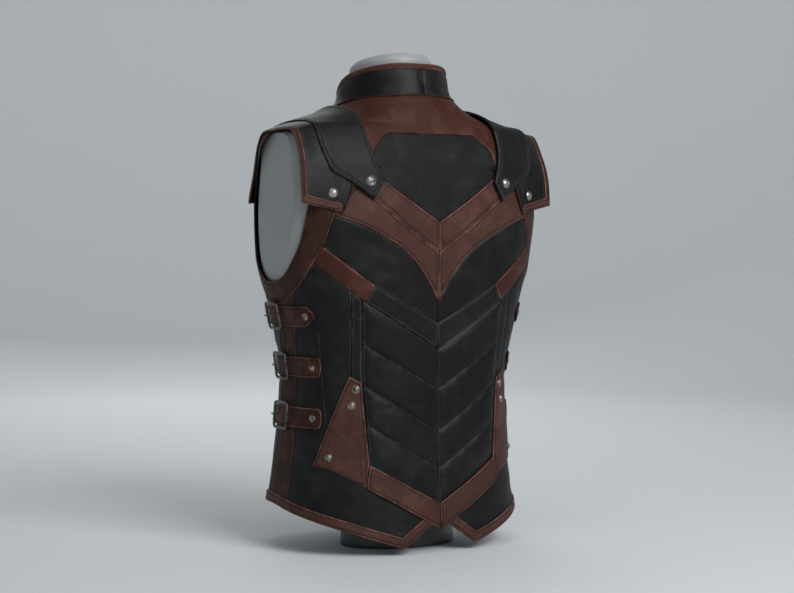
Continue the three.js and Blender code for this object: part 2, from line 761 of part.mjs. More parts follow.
// The piece of cut leather at a place on the skin.
function pieceAt(pieces, at) {
  const [lower, upper] = level(at[0] - 1, at[0] + 1, at[1], 1);
  const probe = patch(lower, upper, CUTTER);
  return pieces.find((piece) => piece.intersect(probe).volume() > 0);
}

function makePanels() {
  let leather = skin(PANEL);
  for (const side of SIDES) {
    leather = leather.subtract(hemCutter(side));
    leather = leather.subtract(armholePrism(side.sign, 0, 0, Infinity));
  }
  for (const side of SIDES) {
    const { side: letOut, below, top } = FACING;
    const kept = armholePrism(side.sign, letOut - SEAM_GAP / 2, below - SEAM_GAP / 2, top - SEAM_GAP);
    const removed = armholePrism(side.sign, letOut + SEAM_GAP / 2, below + SEAM_GAP / 2, top);
    addPiece(`armhole_facing_${side.letter}`, leather.intersect(kept), BROWN_LEATHER);
    leather = leather.subtract(removed);
  }
  for (const side of SIDES) {
    for (const seam of Object.values(SEAMS)) {
      leather = leather.subtract(blade(side.seam(seam)));
    }
    for (const edge of [roundNeck(NECK_SEAM), SHOULDER_SEAM]) {
      leather = leather.subtract(blade(side.seam(edge), byDegrees));
    }
  }
  leather = leather.subtract(blade(FRONT_OPENING, byDegrees));
  const pieces = leather.decompose();
  for (const { name, at, finish } of CENTRE_PANELS) {
    addPiece(name, pieceAt(pieces, at), finish);
  }
  for (const { name, at, finish } of SIDE_PANELS) {
    for (const side of SIDES) {
      addPiece(`${name}_${side.letter}`, pieceAt(pieces, side.seam([at])[0]), finish);
    }
  }
}

// ---------------------------------------------------------------- what lies on the panels

const overlaySkin = skin(OVERLAY);
const buckleSkin = skin(BUCKLE);

// The leather of the overlay skin between two edges.
function overlay(edgeA, edgeB) {
  return overlaySkin.intersect(patch(edgeA, edgeB, CUTTER));
}

const rivetSkin = skin(RIVET);

// Turns a geometry that stands along Y to stand outward on the skin at a lift.
function standing(geometry, place, lift) {
  const base = place(lift);
  const outward = place(lift + 1).sub(base).normalize();
  const upright = new THREE.Vector3(0, 1, 0);
  geometry.applyQuaternion(new THREE.Quaternion().setFromUnitVectors(upright, outward));
  geometry.translate(...base.toArray());
  return solidFromGeometry(geometry);
}

// A rivet's head, which starts inside the leather that it is set in.
function rivet(at) {
  const column = new THREE.CylinderGeometry(RIVET_RADIUS, RIVET_RADIUS, CUTTER.outer, HEAD_SIDES);
  return rivetSkin.intersect(standing(column, (lift) => byGirth(at, lift), OVERLAY.outer));
}

function makeBackOverlays(side) {
  let gusset = overlay(side.seam(GUSSET.inner), side.seam(GUSSET.outer));
  const upper = trimmed(HEM_CHEVRON.upper, SEAM_GAP / 2, 2 * SEAM_GAP);
  const lower = trimmed(HEM_CHEVRON.lower, SEAM_GAP / 2, 2 * SEAM_GAP);
  for (const at of side.seam(GUSSET_RIVETS)) {
    gusset = gusset.add(rivet(at));
  }
  addPiece(`gusset_${side.letter}`, gusset, BROWN_LEATHER);
  addPiece(`hem_chevron_${side.letter}`, overlay(side.seam(upper), side.seam(lower)), BROWN_LEATHER);
}

// The standing collar, sewn from two halves, and the binding that runs all round its rim.
function makeCollar() {
  const foot = shifted(roundNeck(NECK_SEAM), COLLAR_FOOT_GAP);
  const rim = roundNeck(COLLAR_RIM);
  const top = shifted(rim, -RIM_BINDING - SEAM_GAP);
  for (const side of SIDES) {
    const ends = [foot, top].map((edge) => side.seam(trimmed(edge, COLLAR_END, COLLAR_END)));
    const half = patch(...ends, PANEL, byDegrees);
    addPiece(`collar_${side.letter}`, half, BLACK_LEATHER);
  }
  const whole = [...mirrored(rim).reverse(), ...rim.slice(1)];
  const edge = trimmed(whole, COLLAR_END, COLLAR_END);
  addPiece('collar_binding', patch(shifted(edge, -RIM_BINDING), edge, PANEL, byDegrees), BROWN_LEATHER);
}

// All the space on one side of the front opening.
function besideOpening(side) {
  const reach = 400;
  const opening = byDegrees([FRONT_LAP - 180, HEM_FRONT], OVERLAY.inner);
  const box = new THREE.BoxGeometry(reach, 2 * reach, 2 * reach);
  box.translate(opening.x + side.sign * (reach + SEAM_GAP) / 2, 0, 0);
  return solidFromGeometry(box);
}

function makeHemBinding(side) {
  const pastMiddle = 30;
  const edge = hemEdge(pastMiddle).slice(1);
  const upper = offsetEdge(edge, BINDING_WIDTH);
  const chevronFoot = shifted(HEM_CHEVRON.lower, -1.2 * SEAM_GAP);
  const chevron = patch(side.seam(HEM_CHEVRON.upper), side.seam(chevronFoot), CUTTER);
  const binding = overlay(side.seam(edge), side.seam(upper)).subtract(chevron);
  addPiece(`hem_binding_${side.letter}`, binding.intersect(besideOpening(side)), BROWN_LEATHER);
}

// A level rectangle on the skin, as its upper and its lower edge.
function level(from, to, z, halfHeight) {
  return [-halfHeight, halfHeight].map((rise) => [[from, z + rise], [to, z + rise]]);
}

function makeSideStrap(side, { name, z, tips, buckle }) {
  const half = STRAP_WIDTH / 2;
  const tip = tips[side.letter];
  const point = 1;
  const slope = (half - point) / STRAP_POINT.upper;
  const end = buckle + STRAP_BEHIND_BUCKLE;
  const corners = [tip, tip + STRAP_POINT.lower, tip + STRAP_POINT.upper, end];
  const upperRise = [point, point + slope * STRAP_POINT.lower, half, half];
  const lowerRise = [-point, -half, -half, -half];
  const upper = corners.map((girth, i) => [girth, z + upperRise[i]]);
  const lower = corners.map((girth, i) => [girth, z + lowerRise[i]]);
  const strap = overlay(side.seam(upper), side.seam(lower));
  const [rivetAt] = side.seam([[tip + STRAP_RIVET_FROM_TIP, z]]);
  addPiece(`side_strap_${name}_${side.letter}`, strap.add(rivet(rivetAt)), BROWN_LEATHER);
}

function makeBuckle(side, { name, z, buckle }) {
  const half = BUCKLE_LENGTH / 2;
  const opening = half - BUCKLE_BAR;
  const rectangle = (reach, rise) => {
    const [lower, upper] = level(buckle - reach, buckle + reach, z, rise);
    return patch(side.seam(lower), side.seam(upper), CUTTER);
  };
  const [prongLower, prongUpper] = level(buckle - half, buckle + half + PRONG_TAIL, z, PRONG_HALF);
  const prong = patch(side.seam(prongLower), side.seam(prongUpper), CUTTER);
  const frame = rectangle(half, BUCKLE_HEIGHT / 2);
  const hollow = rectangle(opening, BUCKLE_HEIGHT / 2 - BUCKLE_BAR);
  const solid = buckleSkin.intersect(frame.subtract(hollow).add(prong));
  addPiece(`buckle_${name}_${side.letter}`, solid, PEWTER);
}

// ---------------------------------------------------------------- what runs over the shoulders

// A place on a shoulder piece: how far out, the turn about the shoulder axis, and the side.
function onShoulder(at, lift, side) {
  const point = shoulderPoint(at, lift);
  point.x *= side.sign;
  return point;
}

// How finely the shoulder pieces are faceted: across each one, and along each row of its edges.
const CAP_COLUMNS = 3;
const CAP_BINDING_COLUMNS = 1;
const SHOULDER_STRAP_COLUMNS = 2;
const SHOULDER_PARTS = 2;

// The slab between two edges that run over the shoulder, as points [out, turn].
function shoulderSlab(edgeA, edgeB, columns, lifts, side) {
  const lines = [[edgeA[0], edgeB[0]]];
  for (let i = 1; i < edgeA.length; i += 1) {
    for (let part = 1; part <= SHOULDER_PARTS; part += 1) {
      const t = part / SHOULDER_PARTS;
      lines.push([between(edgeA[i - 1], edgeA[i], t), between(edgeB[i - 1], edgeB[i], t)]);
    }
  }
  const grid = (lift) => lines.map(([a, b]) => {
    const points = [];
    for (let column = 0; column <= columns; column += 1) {
      points.push(onShoulder(between(a, b, column / columns), lift, side));
    }
    return points;
  });
  return slab(grid(lifts.outer), grid(lifts.inner));
}

function edgesOf(rows) {
  return {
    inner: rows.map((row) => [row.inner, row.innerTurn]),
    outer: rows.map((row) => [row.outer, row.outerTurn]),
  };
}

// The cap's rows drawn in at the outer edge and at both ends, which leaves its binding's place.
function drawnIn(width, turn) {
  const last = CAP_ROWS.length - 1;
  return CAP_ROWS.map((row, i) => {
    const back = (i === 0) - (i === last);
    return {
      inner: row.inner,
      innerTurn: row.innerTurn + back * turn,
      outer: row.outer - width,
      outerTurn: row.outerTurn + back * turn,
    };
  });
}

function makeShoulderPieces(side) {
  const field = edgesOf(drawnIn(CAP_BINDING, CAP_BINDING_TURN));
  const within = edgesOf(drawnIn(CAP_BINDING - SEAM_GAP, CAP_BINDING_TURN - CAP_BINDING_GAP_TURN));
  const edge = edgesOf(CAP_ROWS);
  const last = CAP_ROWS.length - 1;
  const ends = (edges) => [edges.inner[0], ...edges.outer, edges.inner[last]];
  const strap = edgesOf(SHOULDER_STRAP_ROWS);
  const cap = shoulderSlab(field.inner, field.outer, CAP_COLUMNS, CAP, side);
  const binding = shoulderSlab(ends(within), ends(edge), CAP_BINDING_COLUMNS, CAP, side);
  addPiece(`shoulder_cap_${side.letter}`, cap, BLACK_LEATHER);
  addPiece(`shoulder_cap_binding_${side.letter}`, binding, BROWN_LEATHER);
  const strapSolid = shoulderSlab(strap.inner, strap.outer, SHOULDER_STRAP_COLUMNS, SHOULDER_STRAP, side);
  addPiece(`shoulder_strap_${side.letter}`, strapSolid, BLACK_LEATHER);
}

// A snap's low dome, just clear of the leather that it fastens.
function makeShoulderSnap(side, name, { out, turn, off }, leather) {
  const profile = [
    [0, 0], [SNAP_RADIUS, 0], [SNAP_RADIUS, 0.4 * SNAP_HEIGHT], [0, SNAP_HEIGHT],
  ].map(([radius, height]) => new THREE.Vector2(radius, height));
  const place = (lift) => onShoulder([out, turn], lift, side);
  const dome = new THREE.LatheGeometry(profile, HEAD_SIDES);
  addPiece(`${name}_${side.letter}`, standing(dome, place, leather.outer + off), SILVER);
}

// ---------------------------------------------------------------- assembly

makeForm();
makeFoot();
makePanels();
makeCollar();
for (const side of SIDES) {
  makeBackOverlays(side);
  makeHemBinding(side);
  for (const strap of SIDE_STRAPS) {
    makeSideStrap(side, strap);
    makeBuckle(side, strap);
  }
  makeShoulderPieces(side);
  makeShoulderSnap(side, 'strap_snap', SHOULDER_SNAPS.strap, SHOULDER_STRAP);
  makeShoulderSnap(side, 'cap_snap', SHOULDER_SNAPS.cap, CAP);
}

export default vest;
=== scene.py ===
"""A leather armour vest worn by a limbless dress form.

Everything is worked out in millimetres on one curved skin and scaled to metres when a mesh is
made. +Z is up, the back of the vest faces +Y and the wearer's left is +X.
"""

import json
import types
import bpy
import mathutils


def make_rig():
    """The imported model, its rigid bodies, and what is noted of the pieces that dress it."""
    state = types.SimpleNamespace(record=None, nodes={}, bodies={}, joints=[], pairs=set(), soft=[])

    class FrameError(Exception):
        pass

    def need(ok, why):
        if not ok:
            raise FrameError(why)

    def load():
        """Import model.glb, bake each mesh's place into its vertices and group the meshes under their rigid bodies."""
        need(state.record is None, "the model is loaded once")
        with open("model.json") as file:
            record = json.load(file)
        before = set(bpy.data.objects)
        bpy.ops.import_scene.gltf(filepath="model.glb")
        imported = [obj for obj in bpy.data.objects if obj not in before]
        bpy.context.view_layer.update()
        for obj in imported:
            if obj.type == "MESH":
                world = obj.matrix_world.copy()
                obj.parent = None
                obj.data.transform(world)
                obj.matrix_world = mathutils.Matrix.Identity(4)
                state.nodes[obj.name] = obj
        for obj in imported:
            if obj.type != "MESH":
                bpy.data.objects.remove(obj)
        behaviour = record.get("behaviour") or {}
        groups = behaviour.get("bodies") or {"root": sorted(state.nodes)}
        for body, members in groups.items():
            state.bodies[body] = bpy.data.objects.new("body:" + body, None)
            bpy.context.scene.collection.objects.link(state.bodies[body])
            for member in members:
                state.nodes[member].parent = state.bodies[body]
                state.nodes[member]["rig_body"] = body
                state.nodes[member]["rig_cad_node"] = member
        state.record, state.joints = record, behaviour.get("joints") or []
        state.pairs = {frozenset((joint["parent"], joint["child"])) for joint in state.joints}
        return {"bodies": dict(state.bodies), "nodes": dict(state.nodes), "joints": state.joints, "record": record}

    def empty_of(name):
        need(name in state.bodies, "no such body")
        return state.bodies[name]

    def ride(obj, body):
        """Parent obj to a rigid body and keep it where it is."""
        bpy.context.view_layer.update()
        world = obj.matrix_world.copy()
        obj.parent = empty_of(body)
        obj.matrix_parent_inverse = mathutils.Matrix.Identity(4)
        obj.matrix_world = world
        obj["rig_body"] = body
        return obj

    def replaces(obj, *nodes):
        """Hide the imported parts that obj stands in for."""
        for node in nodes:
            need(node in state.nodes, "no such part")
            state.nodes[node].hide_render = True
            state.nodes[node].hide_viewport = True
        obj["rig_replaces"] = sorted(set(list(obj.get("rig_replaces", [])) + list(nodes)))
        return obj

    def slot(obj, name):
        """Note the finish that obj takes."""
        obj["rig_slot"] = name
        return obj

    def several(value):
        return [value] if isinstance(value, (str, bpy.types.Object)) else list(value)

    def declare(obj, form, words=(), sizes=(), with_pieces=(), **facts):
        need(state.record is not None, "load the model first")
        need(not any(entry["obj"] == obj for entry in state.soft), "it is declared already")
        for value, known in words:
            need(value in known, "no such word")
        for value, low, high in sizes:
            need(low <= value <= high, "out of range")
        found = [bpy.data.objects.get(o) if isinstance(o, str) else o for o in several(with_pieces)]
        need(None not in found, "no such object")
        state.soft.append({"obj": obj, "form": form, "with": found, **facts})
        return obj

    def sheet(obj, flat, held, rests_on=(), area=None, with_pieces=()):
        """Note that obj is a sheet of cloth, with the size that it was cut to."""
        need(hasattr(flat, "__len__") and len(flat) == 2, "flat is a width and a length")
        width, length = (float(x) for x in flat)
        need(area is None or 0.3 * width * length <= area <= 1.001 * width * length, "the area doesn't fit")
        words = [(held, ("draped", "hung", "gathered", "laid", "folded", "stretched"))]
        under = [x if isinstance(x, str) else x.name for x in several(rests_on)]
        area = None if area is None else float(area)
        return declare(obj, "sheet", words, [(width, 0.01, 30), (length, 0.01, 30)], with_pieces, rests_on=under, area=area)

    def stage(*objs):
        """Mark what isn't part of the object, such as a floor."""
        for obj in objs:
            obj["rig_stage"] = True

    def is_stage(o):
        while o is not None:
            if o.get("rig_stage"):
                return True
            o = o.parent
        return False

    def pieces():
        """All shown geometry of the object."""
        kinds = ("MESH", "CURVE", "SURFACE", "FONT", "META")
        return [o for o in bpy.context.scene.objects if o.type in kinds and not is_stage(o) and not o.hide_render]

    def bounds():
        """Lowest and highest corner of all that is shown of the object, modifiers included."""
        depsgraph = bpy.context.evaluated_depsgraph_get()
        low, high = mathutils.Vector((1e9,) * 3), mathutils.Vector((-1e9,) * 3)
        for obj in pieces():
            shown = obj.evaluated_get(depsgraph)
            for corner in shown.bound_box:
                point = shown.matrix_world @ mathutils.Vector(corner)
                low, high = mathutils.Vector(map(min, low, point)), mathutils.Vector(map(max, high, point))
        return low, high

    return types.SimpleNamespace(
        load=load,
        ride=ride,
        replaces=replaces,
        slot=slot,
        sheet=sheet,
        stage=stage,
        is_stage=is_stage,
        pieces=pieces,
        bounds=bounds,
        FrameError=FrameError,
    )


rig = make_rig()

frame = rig.load()

import json
import math
from collections import Counter

import bmesh
import bpy
import numpy as np
from bpy.props import FloatProperty, FloatVectorProperty, PointerProperty
from mathutils import Vector, noise
from mathutils.geometry import delaunay_2d_cdt

CAD_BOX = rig.bounds()
SIZE_FILE = "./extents.json"

bl_info = {
    "name": "Leather armour vest",
    "version": (1, 0, 0),
    "blender": (4, 5, 0),
    "location": "3D View > Sidebar > Vest",
    "description": "Builds a leather armour vest, its dress form and its stage",
    "category": "Object",
}

MM = 0.001
PREFIX = "made_"
MIN_STRIP = 12.0
LEAST_SHARE = 0.301
SIDES = (("L", 1), ("R", -1))

# ---------------------------------------------------------------- sizes of the vest

# The distance between the points of an outline, and how far a seam runs past the one it meets.
STEP = 4.0
PAST_SEAM = 0.8
LEATHER = 2.0
SEAM_GAP = 0.3
OVERLAY_LIFT = 2.5
BUCKLE_LIFT = 4.4
CAP_LIFT = 3.4
SHOULDER_STRAP_LIFT = 6.4

BINDING_WIDTH = 13.0
EDGE_OVER = 0.9
RIM_BINDING = 7.0
STRAP_WIDTH = 27.0
BUCKLE_LENGTH = 44.0
BUCKLE_HEIGHT = 37.0
BUCKLE_BAR = 2.0
BUCKLE_CORNER = 4.6
BUCKLE_DROOP = 0.7
STRAP_BEHIND_BUCKLE = 50.0
HEM_FRONT = 44.0
FRONT_LAP = 7.0
LAP_GAP = 0.4
COLLAR_SEAM = 0.15
COLLAR_STITCH = 2.6
FORM_BOTTOM = 66.0
# How far the form stays inside the leather, at a height.
FORM_CLEARANCE = ((505, 3.2), (543, 1.0))
# The rings of the form's rounded lower edge as [how far in, how far up].
FORM_LIP = ((7.0, 0.0), (4.0, 0.2), (1.6, 1.2), (0.4, 3.0))
ARM_PLATE_X = 184.5

# Level sections: z, half the width, back, front and widest point along Y, squareness of each half.
SECTIONS = (
    (-20, 180, 112, -150, -22, 2.6, 2.4),
    (30, 174, 108, -146, -21, 2.6, 2.4),
    (130, 161, 100, -134, -19, 2.6, 2.4),
    (220, 156, 99, -126, -13, 2.6, 2.4),
    (310, 172, 103, -132, -6, 2.7, 2.3),
    (390, 193, 106, -138, -8, 2.8, 2.3),
    (450, 196, 107, -134, -9, 3.2, 2.3),
    (500, 195, 102, -120, -6, 3.2, 2.4),
    (530, 194, 93, -106, -4, 3.0, 2.5),
    (543, 191, 87, -98, -3, 2.9, 2.5),
    (551, 184, 83.5, -93, -3, 2.8, 2.5),
    (558, 155, 81.5, -89, -3, 2.6, 2.5),
    (576, 101, 77, -82, -4, 2.4, 2.4),
    (590, 82.5, 71.5, -82, -7, 2.2, 2.2),
    (600, 76, 67.5, -83, -10, 2.1, 2.1),
    (645, 68.5, 57, -93, -15, 2.1, 2.1),
)

# Seams of the left half as [girth from the middle of the back, height].
SEAMS = {
    "centre_back": [(0, -10), (0, 432)],
    "centre_panel_point": [(0, 432), (45, 460), (95, 494)],
    "centre_panel_top": [(95, 494), (91, 524.5), (66, 547), (0, 547)],
    "yoke_edge": [(95, 494), (150, 526), (190, 532)],
    "upper_chevron": [(0, 392.5), (47, 424), (96, 462), (140, 492), (200, 520)],
    "lower_chevron": [
        (0, 326), (14.5, 352), (34, 377.5), (60, 400), (100, 422), (128, 432.5), (153, 440),
        (200, 452),
    ],
    "band_top": [(0, 300.5), (45, 323), (93, 350.3), (165, 402), (200, 428)],
    "band_bottom": [(0, 265.8), (50, 296), (105, 328.6), (124, 342.3), (175, 379), (206, 402)],
    "band_join": [(93, 350.3), (105, 328.6)],
    "quilt_side": [(110, 332.2), (107, 275), (104.5, 223), (99, 150), (98, 103)],
    "princess": [(124, 342.3), (121.6, 285), (119.5, 232), (117, 180), (112, 108)],
    "skirt": [(0, 47.5), (50, 74), (98, 103), (112, 108)],
    "stripe_back": [(204, 380), (205.6, 278), (208, 205), (210, 147), (215, 106), (221, 75), (230, 20)],
    "side": [(228, 375), (230, 277), (230, 204), (237, 144), (244, 103), (251, 71), (262, 20)],
    "stripe_front": [(246, 370), (245, 277), (247, 204), (256, 144), (268, 103), (277, 70), (290, 20)],
}
CURVED_SEAMS = {
    "centre_panel_point", "yoke_edge", "upper_chevron", "lower_chevron", "band_top", "band_bottom",
    "quilt_side", "princess", "stripe_back", "side", "stripe_front",
}
# Seams that end at the very points that they are given by.
EXACT_SEAMS = {"band_join", "centre_panel_top", "centre_panel_point"}
# Round the neck, as [degrees from the middle of the back, height].
NECK_SEAM = [(0, 599), (36, 597), (65, 594), (104, 584), (125, 578), (150, 572), (180, 569), (192, 570)]
COLLAR_RIM = [
    (0, 640.5), (25, 640.5), (50, 637.5), (84, 629), (104, 620), (125, 605), (150, 596), (180, 592),
]
SHOULDER_SEAM = [(104, 586), (104, 560), (104, 545), (104, 500)]
HEM_POINT = [(-6, 27), (0, 31), (14, 37.5), (55, 9.5)]
HEM_SIDE = [
    (55, 9.5), (94, 22), (140, 36.5), (186, 48.5), (226, 56), (265, 61.5), (330, 58), (400, 50), (485, 44),
]

GUSSET = [(102.5, 88), (96.5, 119), (106, 224.5), (122, 233.5), (166, 130), (173.5, 115)]
GUSSET_RIVETS = [(113.5, 216), (119, 195), (149.5, 127.5)]
# The stitched lines across the gusset: the first point that is sewn, the thread and the line.
GUSSET_SEAMS = (
    (1, "thread_brown", [(144, 171), (97, 119)]),
    (0, "thread_dark", [(110.5, 192), (107, 96)]),
    (0, "thread_dark", [(103.5, 178), (101.5, 94)]),
)
HEM_CHEVRON = [(0.2, 64.6), (48, 91), (96.2, 118.5), (102.2, 88), (50, 58.5), (0.2, 30.4)]

SIDE_STRAPS = (
    {"name": "upper", "z": 310.0, "tips": {"L": 170.0, "R": 157.0}, "buckle": 253.0, "taper": 12.0},
    {"name": "middle", "z": 243.5, "tips": {"L": 159.0, "R": 147.0}, "buckle": 241.0, "taper": 9.0},
    {"name": "lower", "z": 177.0, "tips": {"L": 158.0, "R": 154.0}, "buckle": 240.0, "taper": 9.0},
)
STRAP_RIVET_FROM_TIP = 14.0
EYELETS_BEHIND_BUCKLE = (28, 40)

ARMHOLE = {
    "y": 5, "z": 456, "half_width": 66, "above": 100, "below": 102, "lean": 0.2,
    "back_square": 2.6, "front_square": 2.0,
}
FACING = {"side": 22, "below": 27, "top": 500}

# The stitched lines that quilt the left half of the lower back.
QUILT_LINES = [
    [(0, 212.6), (107, 275.5)],
    [(0, 157.3), (103, 221)],
    [(0, 108.8), (97.5, 169)],
]

# Soft folds pressed into the leather by wear: where each runs, its depth and half its width.
CREASES = {
    "side_back": [
        ((132, 250), (200, 262), 0.9, 6), ((140, 226), (206, 220), 1.1, 7),
        ((128, 292), (176, 322), 0.7, 5), ((150, 160), (206, 172), 0.8, 8),
        ((20, 42), (60, 32), 0.9, 6), ((112, 62), (170, 74), 1.0, 9),
    ],
    "front": [
        ((262, 262), (330, 248), 1.2, 8), ((268, 226), (352, 236), 1.3, 9),
        ((300, 300), (372, 330), 1.0, 10), ((330, 150), (400, 118), 1.1, 11),
        ((300, 420), (368, 440), 1.3, 12), ((380, 520), (430, 548), 1.0, 10),
        ((282, 184), (326, 196), 0.8, 7),
    ],
    "wing": [((60, 388), (130, 410), 0.8, 7), ((40, 348), (92, 372), 0.7, 6)],
    "back_centre_panel": [((-60, 500), (-14, 462), 0.7, 7), ((12, 470), (58, 508), 0.8, 8)],
    "back_yoke": [((60, 560), (110, 560), 0.7, 7), ((-104, 552), (-58, 566), 0.6, 7)],
    "quilted_back": [
        ((18, 190), (52, 200), 1.0, 4), ((60, 244), (92, 250), 0.8, 4), ((24, 250), (44, 276), 0.8, 5),
        ((30, 140), (66, 150), 0.9, 4), ((66, 190), (92, 188), 0.8, 4), ((14, 90), (40, 98), 0.7, 4),
    ],
    "lower_chevron": [((30, 384), (64, 410), 0.5, 4)],
    "band": [((112, 348), (150, 376), 0.4, 4)],
}

SHOULDER_AXIS = {"y": -5, "z": 440}
ARC_PER_DEGREE = 2.0
# Past this far out the arch follows the skin's fall by a share only: its turn and the share there.
SHOULDER_POINT = 150
FOLLOW = ((0, 0.3), (60, 0.3), (90, 0.72), (115, 0.88), (180, 0.88))
# Edges over the shoulder as [how far out, degrees about the shoulder axis up from the back].
CAP_INNER = [
    (139, 2.5), (126, 21), (118, 45), (110, 70), (108, 90), (110, 112), (118, 138), (126, 160), (139, 175),
]
CAP_OUTER = [(190, turn) for turn in (10, 27, 50, 72, 92, 114, 136, 152, 163)]
STRAP_INNER = [
    (98, 10.5), (85, 22), (97, 40), (100, 56), (96, 73), (93, 90), (94, 107), (97, 124), (96, 142),
    (88, 160), (98, 170),
]
STRAP_OUTER = [
    (100, 11.2), (151, 32), (160, 46), (161, 60), (155, 75), (151, 90), (153, 106), (157, 121),
    (158, 136), (150, 150), (100, 169),
]
CAP_BINDING = 8.0
SHOULDER_SNAPS = {"strap": (103, 22), "cap": (150, 16.5)}

NECK = {"half_width": 54.5, "half_depth": 60, "y": -18, "top": 650.5, "slope": 0.11, "rounding": 12}
# The share of the neck's own shape in the form, at a height.
NECK_BLEND = ((565, 0), (570, 0.1), (577, 0.3), (585, 0.6), (594, 0.88), (604, 1))
# The foot's profile is its height and the share of its full size there.
FOOT = {
    "half_width": 82, "half_depth": 60,
    "profile": ((0.0, 0.97), (0.6, 0.992), (2.0, 1.0), (6.0, 1.0), (30, 0.975), (FORM_BOTTOM - 0.4, 0.943)),
}


# ---------------------------------------------------------------- the torso's skin

def cubic(t, low, slope_low, high, slope_high):
    """The curve from low to high with a slope at either end, at the share t of the way."""
    return (
        (1 + 2 * t) * (1 - t) ** 2 * low + t * (1 - t) ** 2 * slope_low
        + t * t * (3 - 2 * t) * high + t * t * (t - 1) * slope_high
    )


def steady_slopes(z, values):
    """Slopes at each height that let no curve between two rows swing past either of them."""
    run = np.diff(z)[:, None]
    rate = np.diff(values, axis=0) / run
    before, after = rate[:-1], rate[1:]
    weight_before = 2 * run[1:] + run[:-1]
    weight_after = run[1:] + 2 * run[:-1]
    same_way = before * after > 0
    safe_before = np.where(same_way, before, 1)
    safe_after = np.where(same_way, after, 1)
    mean = (weight_before + weight_after) / (weight_before / safe_before + weight_after / safe_after)
    return np.vstack([rate[:1], np.where(same_way, mean, 0), rate[-1:]])


# How far apart the levels are where the skin's girth is measured, and its steps round one half.
LEVEL_STEP = 1.5
TURN_STEPS = 180


class Skin:
    """The outside of the vest's panels as a surface of turn about +Z and height."""

    def __init__(self, rows):
        table = np.array(rows, float)
        self.z = table[:, 0]
        self.values = table[:, 1:]
        self.slopes = steady_slopes(self.z, self.values)
        self.levels = np.arange(-20.0, 646.0, LEVEL_STEP)
        self.turns = np.linspace(0, math.pi, TURN_STEPS + 1)
        around = self.at(self.turns[None, :], self.levels[:, None])
        steps = np.linalg.norm(np.diff(around, axis=1), axis=2)
        zero = np.zeros((len(self.levels), 1))
        self.girths = np.concatenate([zero, np.cumsum(steps, axis=1)], axis=1)
        half = self.section(self.levels)[..., 0]
        rise = np.diff(self.levels)
        climb = np.sqrt(rise ** 2 + (0.8 * np.diff(half)) ** 2)
        self.climb = np.concatenate([[self.levels[0]], self.levels[0] + np.cumsum(climb)])

    def section(self, z):
        """The measures of the level section at a height."""
        z = np.asarray(z, float)
        row = np.clip(np.searchsorted(self.z, z), 1, len(self.z) - 1)
        run = (self.z[row] - self.z[row - 1])[..., None]
        t = (z - self.z[row - 1])[..., None] / run
        slope_low, slope_high = self.slopes[row - 1] * run, self.slopes[row] * run
        return cubic(t, self.values[row - 1], slope_low, self.values[row], slope_high)

    def at(self, turn, z):
        turn, z = np.broadcast_arrays(turn, z)
        half, back, front, side, back_square, front_square = np.moveaxis(self.section(z), -1, 0)
        sideways, backwards = np.sin(turn), np.cos(turn)
        behind = backwards >= 0
        square = np.where(behind, back_square, front_square)
        depth = np.where(behind, back - side, side - front)
        reach = (np.abs(sideways) ** square + np.abs(backwards) ** square) ** (-1 / square)
        return np.stack([half * sideways * reach, side + depth * backwards * reach, z], axis=-1)

    def point(self, turn, z, lift):
        """The point that stands off the skin by a lift."""
        around = self.at(turn + 0.01, z) - self.at(turn - 0.01, z)
        upward = self.at(turn, z + 0.5) - self.at(turn, z - 0.5)
        normal = np.cross(upward, around)
        normal /= np.linalg.norm(normal, axis=-1, keepdims=True)
        return self.at(turn, z) + normal * np.asarray(lift, float)[..., None]

    def lengths_at(self, z):
        """The girth at each step of turn, at some heights."""
        place = (np.asarray(z, float) - self.levels[0]) / LEVEL_STEP
        place = np.clip(place, 0, len(self.levels) - 1.001)
        low = place.astype(int)
        part = (place - low)[:, None]
        return self.girths[low] * (1 - part) + self.girths[low + 1] * part

    def turn_at(self, girth, z):
        """The turn that a girth from the middle of the back comes to."""
        lengths = self.lengths_at(z)
        half = lengths[:, -1]
        distance = np.abs(girth)
        beyond = distance > half
        inside = np.where(beyond, 2 * half - distance, distance)
        step = np.clip((lengths < inside[:, None]).sum(axis=1), 1, TURN_STEPS)
        row = np.arange(len(step))
        start, end = lengths[row, step - 1], lengths[row, step]
        turn = (step - 1 + (inside - start) / (end - start)) * math.pi / TURN_STEPS
        return np.sign(girth) * np.where(beyond, 2 * math.pi - turn, turn)

    def girth_at(self, turn, z):
        """The girth from the middle of the back to a turn."""
        lengths = self.lengths_at(np.atleast_1d(z))
        out = []
        for row, angle in zip(lengths, np.atleast_1d(turn)):
            beyond = angle > math.pi
            inside = np.interp(2 * math.pi - angle if beyond else angle, self.turns, row)
            out.append(2 * row[-1] - inside if beyond else inside)
        return np.array(out)

    def climb_at(self, z):
        """The length of the way up the skin's side to a height."""
        return np.interp(z, self.levels, self.climb)

    def height_at(self, climb):
        """The height that a way up the skin's side comes to."""
        return np.interp(climb, self.climb, self.levels)


SKIN = Skin(SECTIONS)


def flat_point(point):
    """A named place [girth, height] in the skin's flat pattern."""
    return np.array([point[0], SKIN.climb_at(point[1])])


def flat_line(points):
    return np.array([flat_point(point) for point in points])


def on_skin(sign):
    """Puts the flat pattern's points on one side of the skin."""
    def place(flat, lift):
        z = SKIN.height_at(flat[:, 1])
        turn = SKIN.turn_at(np.where(flat[:, 0] == 0, 1e-9, flat[:, 0]), z)
        points = SKIN.point(turn, z, lift)
        points[:, 0] *= sign
        return points
    return place


COLLAR_ARC = 1.31


def on_collar(sign):
    """Puts points [arc, height] on the standing collar."""
    def place(flat, lift):
        points = SKIN.point(np.radians(flat[:, 0] / COLLAR_ARC), flat[:, 1], lift)
        points[:, 0] *= sign
        return points
    return place


